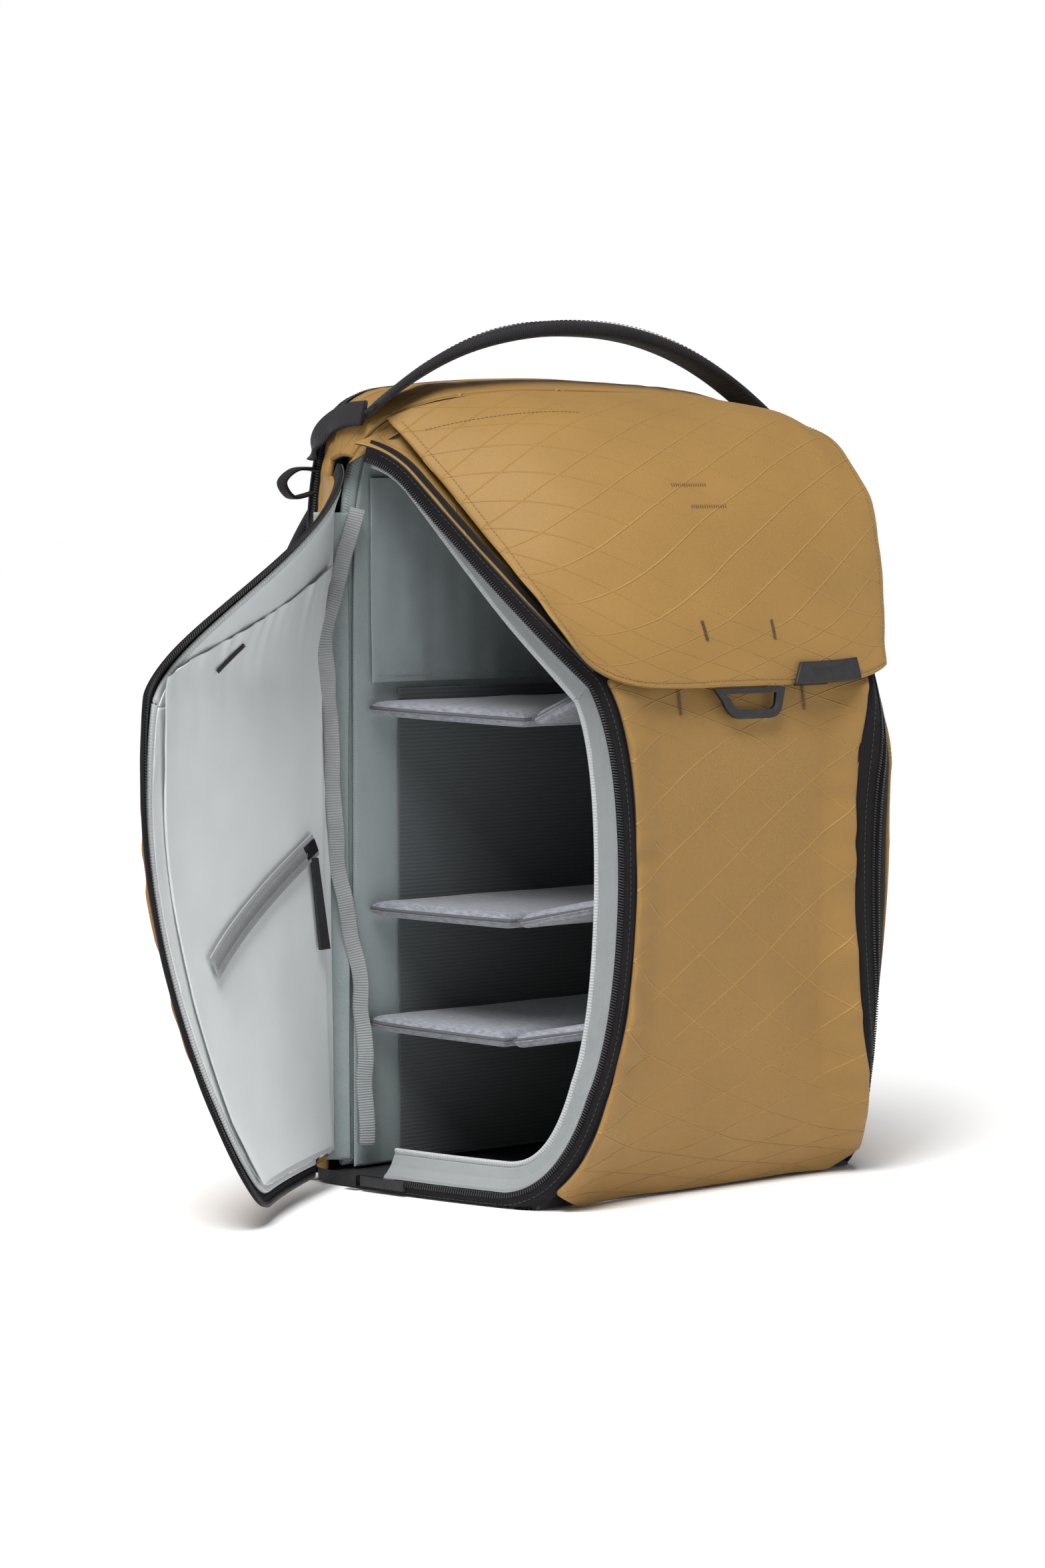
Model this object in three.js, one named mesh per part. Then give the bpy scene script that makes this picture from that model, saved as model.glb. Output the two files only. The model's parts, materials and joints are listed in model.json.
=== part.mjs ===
// A side-access camera backpack, standing on its base with its left side door open.
//
// Units are millimetres. +X is to the right seen from the front, -Y is the front, +Z is up.
// The origin is on the underside of the base, below the middle of the bag.
//
// The two sides are one vertical surface each. Its plan is a Bezier curve that runs from the
// door's hinge line at the rear, past the flat of the side, round to the front face. A point on
// it is given by w, the distance along that curve from the hinge line, and z, the height.
import * as THREE from 'three';

// ---- driving dimensions -------------------------------------------------------------------

const HINGE = new THREE.Vector2(162, 78); // the door's hinge line in plan, right side
const FRONT_Y = -103; // the front face at mid height
const FRONT_EDGE_X = 94; // where the side surface runs into the front face
const RIGHT_SWELL = 13; // how far the right side stands out beyond the left side's shape
const BODY_TOP = 467; // top of the rear of the bag
const BACK_Y = 92; // front of the back panel
const BACK_THICK = 10;
const WALL_Y = 70; // front of the padded wall behind the main compartment
const SKIN = 4; // fabric, foam and lining of a body panel
const CLEAR = 0.5; // gap between panels that are sewn together
const SEAM = 3; // from the edge of a zip tape to the edge of the panel beside it

const BASE_THICK = 7.5;
const DOOR_OPEN_ANGLE = THREE.MathUtils.degToRad(87); // the left door, from closed
const DOOR_SKIN = 4;
const LINING = 2.2;
const LINING_OUT = DOOR_SKIN + 0.9; // depth of the lining's outer face inside a door
const TAPE = 2.5; // zip tape with its coil
const TAPE_WIDTH = 9.5;

const DIVIDER_THICK = 9;
const DIVIDER_REAR_Y = 66;
const CREASE_GAP = 2.5; // from the fold line to the pads on each side of it
// Height at the rear, the fold line, and how far the front leaf reaches and rises.
const DIVIDERS = [
  { name: 'top', rearZ: 276, creaseY: -38, creaseZ: 272, frontY: -83, rise: 23 },
  { name: 'middle', rearZ: 160, creaseY: -30, creaseZ: 158, frontY: -88, rise: 13 },
  { name: 'bottom', rearZ: 94, creaseY: -27, creaseZ: 90, frontY: -86, rise: 11 },
];

const FLAP_THICK = 3;
const FLAP_LOW = 291; // height of the flap's lower hem
const FLAP_HEM_Y = -110;
const HANDLE_Y = 48;
const HANDLE_HALF = 151; // half the distance between the handle's ends
const HANDLE_TOP = 500;

// ---- colours -------------------------------------------------------------------------------

const COLOURS = {
  tan: { color: 0x9a7038, roughness: 0.6, metalness: 0 },
  black_tape: { color: 0x1d1c1e, roughness: 0.7, metalness: 0 },
  charcoal: { color: 0x2b2a2c, roughness: 0.85, metalness: 0 },
  grey_lining: { color: 0x9fa8ac, roughness: 0.5, metalness: 0 },
  grey_twill: { color: 0x6f7c80, roughness: 0.7, metalness: 0 },
  grey_felt: { color: 0x9396a0, roughness: 0.9, metalness: 0 },
  grey_binding: { color: 0x6d6b6a, roughness: 0.85, metalness: 0 },
  loop_fabric: { color: 0x4a5052, roughness: 0.95, metalness: 0 },
  black_metal: { color: 0x1a191b, roughness: 0.4, metalness: 0.8 },
  black_rubber: { color: 0x1c1c1e, roughness: 0.6, metalness: 0 },
};
const bag = new THREE.Group();

function mesh(name, geometry, colour, parent = bag) {
  const piece = new THREE.Mesh(geometry, new THREE.MeshStandardMaterial(COLOURS[colour]));
  piece.name = name;
  parent.add(piece);
  return piece;
}

// ---- helpers for sheets and bands ------------------------------------------------------------

const vec = (x, y, z) => new THREE.Vector3(x, y, z);
const lerp = THREE.MathUtils.lerp;
const smooth = (x, low, high) => THREE.MathUtils.smoothstep(x, low, high);

// A closed solid between two grids of points: point(u, v, face) with face 0 outside, 1 inside.
function slab(columns, rows, point) {
  const across = columns + 1;
  const perFace = across * (rows + 1);
  const positions = [];
  for (const face of [0, 1]) {
    for (let r = 0; r <= rows; r += 1) {
      for (let c = 0; c <= columns; c += 1) {
        const p = point(c / columns, r / rows, face);
        positions.push(p.x, p.y, p.z);
      }
    }
  }
  const at = (c, r, face) => face * perFace + r * across + c;
  const index = [];
  const quad = (a, b, c, d) => index.push(a, b, c, a, c, d);
  for (let r = 0; r < rows; r += 1) {
    for (let c = 0; c < columns; c += 1) {
      quad(at(c, r, 0), at(c + 1, r, 0), at(c + 1, r + 1, 0), at(c, r + 1, 0));
      quad(at(c, r, 1), at(c, r + 1, 1), at(c + 1, r + 1, 1), at(c + 1, r, 1));
    }
  }
  for (let c = 0; c < columns; c += 1) {
    quad(at(c, 0, 1), at(c + 1, 0, 1), at(c + 1, 0, 0), at(c, 0, 0));
    quad(at(c, rows, 0), at(c + 1, rows, 0), at(c + 1, rows, 1), at(c, rows, 1));
  }
  for (let r = 0; r < rows; r += 1) {
    quad(at(0, r, 0), at(0, r + 1, 0), at(0, r + 1, 1), at(0, r, 1));
    quad(at(columns, r, 1), at(columns, r + 1, 1), at(columns, r + 1, 0), at(columns, r, 0));
  }
  if (signedVolume(positions, index) < 0) {
    index.reverse();
  }
  const geometry = new THREE.BufferGeometry();
  geometry.setAttribute('position', new THREE.Float32BufferAttribute(positions, 3));
  geometry.setIndex(index);
  geometry.computeVertexNormals();
  return geometry;
}

function signedVolume(positions, index) {
  const corner = (i) => new THREE.Vector3().fromArray(positions, index[i] * 3);
  let volume = 0;
  for (let i = 0; i < index.length; i += 3) {
    volume += corner(i).dot(corner(i + 1).cross(corner(i + 2)));
  }
  return volume;
}

// A sheet that follows surface(u, v), from depth outer to depth inner, measured inwards.
function skin(surface, columns, rows, outer, inner) {
  const middle = vec(0, 0, 220);
  const step = 1e-3;
  return slab(columns, rows, (u, v, face) => {
    const p = surface(u, v);
    const along = surface(Math.min(u + step, 1), v).sub(surface(Math.max(u - step, 0), v));
    const up = surface(u, Math.min(v + step, 1)).sub(surface(u, Math.max(v - step, 0)));
    const normal = along.cross(up).normalize();
    if (normal.dot(p.clone().sub(middle)) < 0) {
      normal.negate();
    }
    return p.addScaledVector(normal, face === 0 ? -outer : -inner);
  });
}

// A straight-sided plate: an outline in the XZ plane from y0 to y1.
function plateXZ(shape, y0, y1, curveSteps = 8) {
  const geometry = new THREE.ExtrudeGeometry(shape, {
    depth: y1 - y0, bevelEnabled: false, curveSegments: curveSteps,
  });
  geometry.rotateX(Math.PI / 2);
  geometry.translate(0, y1, 0);
  return geometry;
}

function block(sizeX, sizeY, sizeZ, x, y, z) {
  return new THREE.BoxGeometry(sizeX, sizeY, sizeZ).translate(x, y, z);
}

// A flat band swept through points, with its width along the unit vectors given and its
// thickness along the other side of the route.
function band(route, widthAxis, width, thick) {
  const last = route.length - 1;
  return slab(last, 1, (u, v, face) => {
    const i = Math.round(u * last);
    const ahead = route[Math.min(i + 1, last)].clone().sub(route[Math.max(i - 1, 0)]).normalize();
    const sideways = widthAxis.clone();
    const normal = ahead.clone().cross(sideways).normalize();
    return route[i].clone()
      .addScaledVector(sideways, (v - 0.5) * width(u))
      .addScaledVector(normal, (0.5 - face) * thick(u));
  });
}

// ---- the side surface and the door outline ---------------------------------------------------

const sidePlan = new THREE.CubicBezierCurve(
  HINGE,
  new THREE.Vector2(150, 8),
  new THREE.Vector2(124, -90),
  new THREE.Vector2(FRONT_EDGE_X, FRONT_Y),
);
const SIDE_LENGTH = sidePlan.getLength();

// The closed right side is packed full, so it swells out between its pleat and the front.
function swell(side, w, z) {
  const across = smooth(w, 30, 150) * (1 - smooth(w, 184, 214));
  const upward = smooth(z, 0, 200) * (1 - smooth(z, 240, 316));
  return side > 0 ? RIGHT_SWELL * across * upward : 0;
}

// The point at w along the side surface, at depth inside it. side is 1 right, -1 left.
function sidePoint(side, w, z, depth) {
  const t = THREE.MathUtils.clamp(w / SIDE_LENGTH, 0, 1);
  const p = sidePlan.getPointAt(t);
  const tangent = sidePlan.getTangentAt(t);
  p.addScaledVector(tangent, w - t * SIDE_LENGTH);
  const inward = depth - swell(side, w, z);
  return vec(side * (p.x + tangent.y * inward), p.y - tangent.x * inward, z);
}

// The line of the zip's teeth round the door: along the base, up the front, then diagonally
// up to the top of the hinge.
const DOOR_LOW = 8;
const DOOR_HIGH = 418;
const zipLine = new THREE.Path();
zipLine.moveTo(12, DOOR_LOW);
zipLine.lineTo(122, DOOR_LOW);
zipLine.bezierCurveTo(150, DOOR_LOW, 168, 28, 180, 66);
zipLine.bezierCurveTo(200, 112, 206, 245, 180, 292);
zipLine.lineTo(62, 401);
zipLine.bezierCurveTo(48, 414, 30, DOOR_HIGH, 12, DOOR_HIGH);
const ZIP_LENGTH = zipLine.getLength();
const BASE_RUN = 110 / ZIP_LENGTH; // the share of the zip line that runs along the base

// A point beside the zip line, outwards from the door by out: x is w and y is z.
function zipPoint(t, out) {
  const p = zipLine.getPointAt(t);
  const d = zipLine.getTangentAt(t);
  return new THREE.Vector2(p.x + d.y * out, Math.max(p.y - d.x * out, 1.2));
}

// A sheet inside the zip line, inset from it all round, between two depths.
function doorSheet(side, inset, hingeW, outer, inner, fromT = BASE_RUN, toT = 0.985) {
  const place = (u, v, depth) => {
    const edge = zipPoint(lerp(fromT, toT, v), -inset);
    const w = lerp(hingeW, Math.max(edge.x, hingeW + 6), 1 - (1 - u) ** 1.5);
    return sidePoint(side, w, edge.y, depth);
  };
  return slab(9, 22, (u, v, face) => place(u, v, face === 0 ? outer : inner));
}

// A tape beside the zip line from out0 to out1 outside it.
function zipTape(side, out0, out1, outer, inner, fromT, toT, steps) {
  return slab(steps, 1, (u, v, face) => {
    const p = zipPoint(lerp(fromT, toT, u), lerp(out0, out1, v));
    return sidePoint(side, p.x, p.y, face === 0 ? outer : inner);
  });
}

// ---- body panels --------------------------------------------------------------------------

// The front face in profile: how far forward it stands at each height.
const frontProfile = new THREE.CatmullRomCurve3([
  vec(0, -69, 0), vec(0, -84, 30), vec(0, -96, 90), vec(0, FRONT_Y, 180),
  vec(0, FRONT_Y, 262), vec(0, -95.5, 302), vec(0, -86, 322),
]);

// The edge of the front panel in terms of the side surface, outside the zip tape.
function frontEdge(side, z) {
  const corner = vec(side * 90, frontProfile.getPoint(0).y, z);
  const zipHeight = THREE.MathUtils.clamp(z, 9, 296);
  let low = BASE_RUN;
  let high = 0.68;
  for (let i = 0; i < 30; i += 1) {
    const mid = (low + high) / 2;
    if (zipPoint(mid, TAPE_WIDTH + SEAM).y < zipHeight) {
      low = mid;
    } else {
      high = mid;
    }
  }
  const roundCorner = 1.5 * (1 - smooth(z, 40, 80));
  const onSide = sidePoint(side, zipPoint(low, TAPE_WIDTH + SEAM).x + roundCorner, z, 0);
  return corner.lerp(onSide, smooth(z, -6, 12)).setZ(z);
}

function frontSurface(u, v) {
  const profile = frontProfile.getPoint(v);
  const h = 2 * u - 1;
  const edge = frontEdge(h < 0 ? -1 : 1, profile.z);
  const underFlap = smooth(profile.z, 292, 322);
  const toEdge = smooth(Math.abs(h), 0.7, 1) * (1 - underFlap);
  const x = h * Math.abs(edge.x) * (1 - 0.09 * underFlap);
  return vec(x, lerp(profile.y, edge.y, toEdge), profile.z - 14 * underFlap * h ** 4);
}

// The silhouette of the rear of the bag, from the base up the side and over to the middle.
function rearOutline(inset) {
  const half = HINGE.x - inset;
  const top = BODY_TOP - inset;
  const path = new THREE.Path();
  path.moveTo(half, BASE_THICK + CLEAR);
  path.lineTo(half, 300);
  path.bezierCurveTo(half, 420, half - 4, top - 12, half - 50, top - 7);
  path.bezierCurveTo(half - 82, top - 3, half * 0.25, top, 0, top);
  return path;
}

// A point on the whole silhouette: u runs from the right foot over the top to the left foot.
function rearPoint(u, inset, y) {
  const p = rearOutline(inset).getPointAt(1 - Math.abs(1 - 2 * u));
  return vec(u <= 0.5 ? p.x : -p.x, y, p.y);
}

function rearShape(inset, low) {
  const half = rearOutline(inset).getSpacedPoints(26);
  half[0].y = low;
  const shape = new THREE.Shape(half);
  const other = half.slice(0, -1).reverse();
  for (const p of other) {
    shape.lineTo(-p.x, p.y);
  }
  return shape;
}

function rearBand(y0, y1, thick, columns) {
  return slab(columns, 1, (u, v, face) => rearPoint(u, face === 0 ? 0 : thick, lerp(y0, y1, v)));
}

// The strip of fabric on top, between the flap's seam and the rear band.
const topFront = new THREE.CatmullRomCurve3([
  vec(0, 32, 460), vec(70, 33, 458.5), vec(115, 38, 453), vec(142, 49, 440), vec(156, 60, 420),
]);
const topRear = new THREE.CatmullRomCurve3([
  vec(0, 79, 467), vec(64, 79, 464.5), vec(115, 79, 459.5), vec(146, 79, 444), vec(157, 79, 418),
]);

function topSurface(u, v) {
  const h = Math.abs(2 * u - 1);
  const p = topFront.getPoint(h).lerp(topRear.getPoint(h), v);
  return vec(Math.sign(2 * u - 1) * p.x, p.y, p.z + 2 * Math.sin(Math.PI * v));
}

function addBody() {
  const base = new THREE.Shape();
  const inset = 3.5;
  const outlinePoints = [];
  for (let w = 0; w <= 150; w += 25) {
    outlinePoints.push(sidePoint(1, w, 0, inset));
  }
  base.moveTo(outlinePoints[0].x, BACK_Y - 2);
  for (const p of outlinePoints) {
    base.lineTo(p.x, p.y);
  }
  const front = frontProfile.getPoint(0).y + SKIN + 2;
  base.lineTo(86, front);
  base.lineTo(-86, front);
  for (const p of outlinePoints.reverse()) {
    base.lineTo(-p.x, p.y);
  }
  base.lineTo(-outlinePoints.at(-1).x, BACK_Y - 2);
  mesh('base_panel', new THREE.ExtrudeGeometry(base, { depth: BASE_THICK, bevelEnabled: false }),
    'charcoal');

  mesh('front_panel', skin(frontSurface, 18, 16, 0, SKIN), 'tan');
  mesh('top_panel', skin(topSurface, 24, 3, 0, SKIN), 'tan');
  mesh('rear_band', rearBand(80, 88, 5, 44), 'tan');
  mesh('laptop_zip', rearBand(88.5, BACK_Y - CLEAR, 3, 44), 'black_tape');
  mesh('back_panel', plateXZ(rearShape(1, 3), BACK_Y, BACK_Y + BACK_THICK), 'charcoal');
  mesh('sleeve_board', plateXZ(rearShape(13, BASE_THICK + 1), 74, 86), 'grey_twill');
  mesh('inner_wall', plateXZ(rearShape(16, BASE_THICK + 1), WALL_Y, 73), 'grey_twill');
  mesh('loop_panel', block(232, 1.5, 275, 0, WALL_Y - 1.1, 149), 'loop_fabric');
  mesh('upper_lining', block(272, 1.5, 118, 0, WALL_Y - 1.1, 349), 'grey_twill');
}

// The fabric between a door's diagonal zip and the edge of the flap, running in under the flap.
function shoulderSurface(side) {
  const frontT = 0.672;
  const rearT = 0.93;
  const inward = vec(-side * 0.4, 0.5, -0.75);
  return (u, v) => {
    const low = zipPoint(lerp(frontT, rearT, u), TAPE_WIDTH + 2.4);
    const lower = sidePoint(side, low.x, low.y, 0);
    const upper = flapPoint(side * 0.8, lerp(0.14, 0.9, u)).addScaledVector(inward, 11);
    return lower.lerp(upper, v).addScaledVector(inward, 8 * Math.sin(Math.PI * v) ** 0.7);
  };
}

function addOpening(side, name) {
  mesh(`${name}_shoulder`, skin(shoulderSurface(side), 12, 5, 0, 2), 'tan');
  mesh(`${name}_opening_zip`, zipTape(side, 0.4, TAPE_WIDTH, 0, TAPE, 0.02, 0.97, 40),
    'black_tape');
  mesh(`${name}_opening_facing`, zipTape(side, -16, -1, 11, 14, 0.06, 0.86, 32), 'grey_lining');
}

// ---- doors --------------------------------------------------------------------------------

function addDoor(side, name, angle) {
  const swing = new THREE.Group();
  const pivot = vec(side * HINGE.x, HINGE.y, 0);
  swing.position.copy(pivot);
  swing.rotation.z = angle;
  bag.add(swing);
  const hang = (node, geometry, colour) => {
    geometry.translate(-pivot.x, -pivot.y, 0);
    return mesh(`${name}_${node}`, geometry, colour, swing);
  };
  const tapeIn = TAPE_WIDTH + 0.6;
  hang('door', doorSheet(side, tapeIn, 3, 0, DOOR_SKIN), 'tan');
  hang('door_lining', doorSheet(side, 5, 3, LINING_OUT, LINING_OUT + LINING, 0.19, 0.95),
    'grey_lining');
  hang('door_zip', zipTape(side, -TAPE_WIDTH, -0.4, 0.5, 0.5 + TAPE, 0.02, 0.97, 40), 'black_tape');
  hang('hinge_strip', slab(1, 12, (u, v, face) => (
    sidePoint(side, lerp(4, 12, u), lerp(24, 396, v), face === 0 ? 7.7 : 9.1)
  )), 'grey_binding');
  hang('side_pocket', slab(8, 8, (u, v, face) => {
    const puff = 1 + 8 * Math.sin(Math.PI * u) * Math.sin(Math.PI * lerp(0.12, 0.9, v));
    return sidePoint(side, lerp(16, 150, u), lerp(26, 232, v), face === 0 ? -0.4 - puff : -0.4);
  }), 'tan');
  return hang;
}

// The zipped pocket on the inside of the left door.
const POCKET_ZIP_HIGH = new THREE.Vector2(24, 200);
const POCKET_ZIP_LOW = new THREE.Vector2(138, 140);

function addDoorPocket(hang) {
  const panelDepth = LINING_OUT + LINING + 1.2;
  const edge = new THREE.CatmullRomCurve3([vec(14, 358, 0), vec(84, 326, 0), vec(176, 300, 0)]);
  hang('door_pocket', slab(12, 10, (u, v, face) => {
    const top = edge.getPoint(u);
    const z = lerp(24, top.y, v);
    const reach = Math.min(170, 134 + 0.6 * z);
    return sidePoint(-1, lerp(14, reach, u), z, face === 0 ? panelDepth : panelDepth + 1.4);
  }), 'grey_lining');
  const zipDepth = panelDepth + 1.8;
  const along = POCKET_ZIP_LOW.clone().sub(POCKET_ZIP_HIGH).normalize();
  const across = new THREE.Vector2(-along.y, along.x);
  const onZip = (distance, sideways) => POCKET_ZIP_HIGH.clone()
    .addScaledVector(along, distance).addScaledVector(across, sideways);
  const length = POCKET_ZIP_LOW.distanceTo(POCKET_ZIP_HIGH);
  hang('pocket_zip', slab(10, 1, (u, v, face) => {
    const p = onZip(u * length, lerp(-6, 6, v));
    return sidePoint(-1, p.x, p.y, face === 0 ? zipDepth : zipDepth + 1.2);
  }), 'grey_binding');
  hang('pocket_slider', slab(1, 1, (u, v, face) => {
    const p = onZip(lerp(1, 11, u), lerp(-4, 4, v));
    return sidePoint(-1, p.x, p.y, face === 0 ? zipDepth + 2.6 : zipDepth + 5.2);
  }), 'black_metal');
  hang('pocket_pull', slab(1, 4, (u, v, face) => {
    const w = lerp(26, 17, v);
    const half = lerp(2.6, 4.2, v);
    return sidePoint(-1, w + lerp(-half, half, u), lerp(192, 139, v), face === 0 ? 13.4 : 15.4);
  }), 'black_rubber');
}

// Each door's zip slider is parked at the foot of the hinge, with a short pull hanging out.
function addDoorSlider(side, name) {
  const body = [18, 27];
  mesh(`${name}_zip_slider`, slab(1, 1, (u, v, face) => (
    sidePoint(side, lerp(body[0], body[1], u), lerp(2, 8, v), face === 0 ? -3.4 : -0.4)
  )), 'black_metal');
  mesh(`${name}_zip_pull`, slab(1, 3, (u, v, face) => (
    sidePoint(side, lerp(30, 62, v), lerp(2.4, 7.8, u), face === 0 ? -3.1 : -0.9)
  )), 'black_rubber');
}

// ---- dividers -----------------------------------------------------------------------------

// Half the width of the main compartment at a distance y along the bag.
function compartmentHalf(y) {
  const t = THREE.MathUtils.clamp((HINGE.y - y) / (HINGE.y - FRONT_Y), 0, 1);
  return Math.min(sidePlan.getPoint(t).x - 19, 138);
}

function addDivider({ name, rearZ, creaseY, creaseZ, frontY, rise }) {
  const leaf = (node, yStart, zStart, yEnd, zEnd) => {
    mesh(`divider_${name}_${node}`, slab(4, 6, (u, v, face) => {
      const y = lerp(yStart, yEnd, v);
      const half = compartmentHalf(y);
      const z = lerp(zStart, zEnd, v) + (0.5 - face) * DIVIDER_THICK;
      return vec(lerp(-half, half, u), y, z);
    }), 'grey_felt');
  };
  leaf('shelf', DIVIDER_REAR_Y, rearZ, creaseY + CREASE_GAP, creaseZ);
  leaf('leaf', creaseY - CREASE_GAP, creaseZ, frontY, creaseZ + rise);
}

// ---- flap and latch ------------------------------------------------------------------------

const flapMiddle = new THREE.CatmullRomCurve3([
  vec(0, FLAP_HEM_Y, FLAP_LOW), vec(0, -98, 327), vec(0, -67, 392), vec(0, -22, 438),
  vec(0, 29, 460),
]);
const flapEdgeLow = vec(121, -102, 316);
const flapEdgeHigh = vec(143, 43, 443);
// The right side is full under its closed door, so the flap's edge stands further out there.
const flapEdgeRight = new THREE.CatmullRomCurve3([
  vec(122, -99, 300), vec(136, -78, 342), vec(141, -58, 396), vec(139, -24, 434),
  vec(142.5, 43, 442),
]);

// h is -1 at the left edge and 1 at the right; v is 0 at the hem and 1 at the rear seam.
function flapPoint(h, v) {
  const middle = flapMiddle.getPoint(v);
  const edge = h > 0 ? flapEdgeRight.getPoint(v) : flapEdgeLow.clone().lerp(flapEdgeHigh, v);
  const power = lerp(6, 2.5, smooth(v, 0, 0.3));
  const drop = Math.abs(h) ** power;
  return vec(h * edge.x, lerp(middle.y, edge.y, drop), lerp(middle.z, edge.z, drop));
}

function addFlap() {
  mesh('flap', skin((u, v) => flapPoint(2 * u - 1, v), 20, 12, 0, FLAP_THICK), 'tan');
  const tab = (u, v) => {
    const lean = lerp(0, 6, v);
    return flapPoint(lerp(34 + lean, 92 - lean, u) / flapEdgeLow.x, lerp(0.006, 0.085, v));
  };
  mesh('corner_tab', skin(tab, 6, 2, -1.9, -0.4), 'black_rubber');
  mesh('latch_mount', block(40, 2, 8, 0, -98.6, 306), 'black_metal');
}

// The latch is a flat D: a straight top bar, two legs and a narrower bottom.
function addLatch() {
  const outline = new THREE.Shape();
  outline.moveTo(27, 289.5);
  outline.lineTo(-27, 289.5);
  outline.lineTo(-21, 283);
  outline.quadraticCurveTo(-16, 273, -8, 272);
  outline.lineTo(15, 272);
  outline.quadraticCurveTo(24, 272, 25, 280);
  const window = new THREE.Path();
  window.moveTo(-19, 286.5);
  window.lineTo(20, 286.5);
  window.lineTo(19.5, 281);
  window.quadraticCurveTo(19, 277, 14, 277);
  window.lineTo(-7, 277);
  window.quadraticCurveTo(-12, 278, -15, 284);
  outline.holes.push(window);
  mesh('latch_ring', plateXZ(outline, -107.6, -105.5, 4), 'black_metal');
}

// ---- handle, loops and straps ----------------------------------------------------------------

function handleHeight(x) {
  const share = Math.abs(x) / HANDLE_HALF;
  return HANDLE_TOP - 4 - 51 * share ** 2.2;
}

function addHandle() {
  const route = [];
  const steps = 18;
  for (let i = 0; i <= steps; i += 1) {
    const x = lerp(-HANDLE_HALF, HANDLE_HALF, i / steps);
    route.push(vec(x, HANDLE_Y, handleHeight(x)));
  }
  const width = (u) => lerp(26, 22, Math.sin(Math.PI * u));
  const thick = (u) => lerp(4, 9, Math.sin(Math.PI * u));
  mesh('top_handle', band(route, vec(0, 1, 0), width, thick), 'charcoal');
  for (const [side, name] of [[-1, 'left'], [1, 'right']]) {
    mesh(`${name}_handle_anchor`, band([
      vec(side * 156.5, HANDLE_Y, 442), vec(side * 159.5, HANDLE_Y + 1, 433),
      vec(side * 163, HANDLE_Y + 2, 424),
    ], vec(0, 1, 0), () => 28, () => 3), 'charcoal');
  }
}

function addSideLoop(side, name) {
  const ring = new THREE.Shape();
  ring.absarc(0, 0, 9, 0, 2 * Math.PI);
  const hole = new THREE.Path();
  hole.absarc(0, 0, 5.5, 0, 2 * Math.PI, true);
  ring.holes.push(hole);
  const geometry = plateXZ(ring, 90, 99, 12);
  geometry.translate(side * 171.8, 0, 404);
  mesh(`${name}_side_loop`, geometry, 'black_tape');
}

function addStrap(side, name) {
  const line = new THREE.CatmullRomCurve3([
    vec(side * 78, 109, 428), vec(side * 108, 117, 392), vec(side * 137, 124, 330),
    vec(side * 143, 123, 255), vec(side * 130, 114, 180), vec(side * 118, 110, 130),
  ]);
  const route = line.getSpacedPoints(12);
  const width = (u) => lerp(50, 62, Math.sin(Math.PI * Math.min(1, 1.15 * u)));
  mesh(`${name}_strap_pad`, band(route, vec(side, 0, 0), width, () => 10), 'charcoal');
  const tail = [vec(side * 117, 108.5, 126), vec(side * 122, 106.5, 80), vec(side * 132, 104.6, 32)];
  mesh(`${name}_strap_webbing`, band(tail, vec(side, 0, 0), () => 25, () => 2.4), 'black_tape');
}

function addBackPads() {
  for (const [side, name] of [[-1, 'left'], [1, 'right']]) {
    mesh(`${name}_back_pad`, block(56, 2.6, 330, side * 42, BACK_Y + BACK_THICK + 1.7, 238),
      'charcoal');
  }
}

function addLaptopSlider() {
  const x = HINGE.x + 2;
  const y = 90;
  mesh('laptop_slider', block(3, 6, 10, x, y, 372), 'black_metal');
  mesh('laptop_pull', block(2, 5, 34, x + 0.4, y, 347.5), 'black_rubber');
}

// ---- the bag ------------------------------------------------------------------------------

addBody();
addOpening(1, 'right');
addOpening(-1, 'left');
addDoor(1, 'right', 0);
addDoorPocket(addDoor(-1, 'left', -DOOR_OPEN_ANGLE));
addDoorSlider(1, 'right');
addDoorSlider(-1, 'left');
DIVIDERS.forEach(addDivider);
addFlap();
addLatch();
addHandle();
for (const [side, name] of [[-1, 'left'], [1, 'right']]) {
  addSideLoop(side, name);
  addStrap(side, name);
}
addBackPads();
addLaptopSlider();

export default bag;
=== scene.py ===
"""The looks of a side-access camera backpack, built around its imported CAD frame.

Sizes are millimetres, as in the CAD source; build() turns a piece into metres when its mesh is made.
+X is to the right seen from the front, -Y is the front, +Z is up. side is 1 for right, -1 for left.
"""

import functools
import itertools
import json
import math

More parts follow.
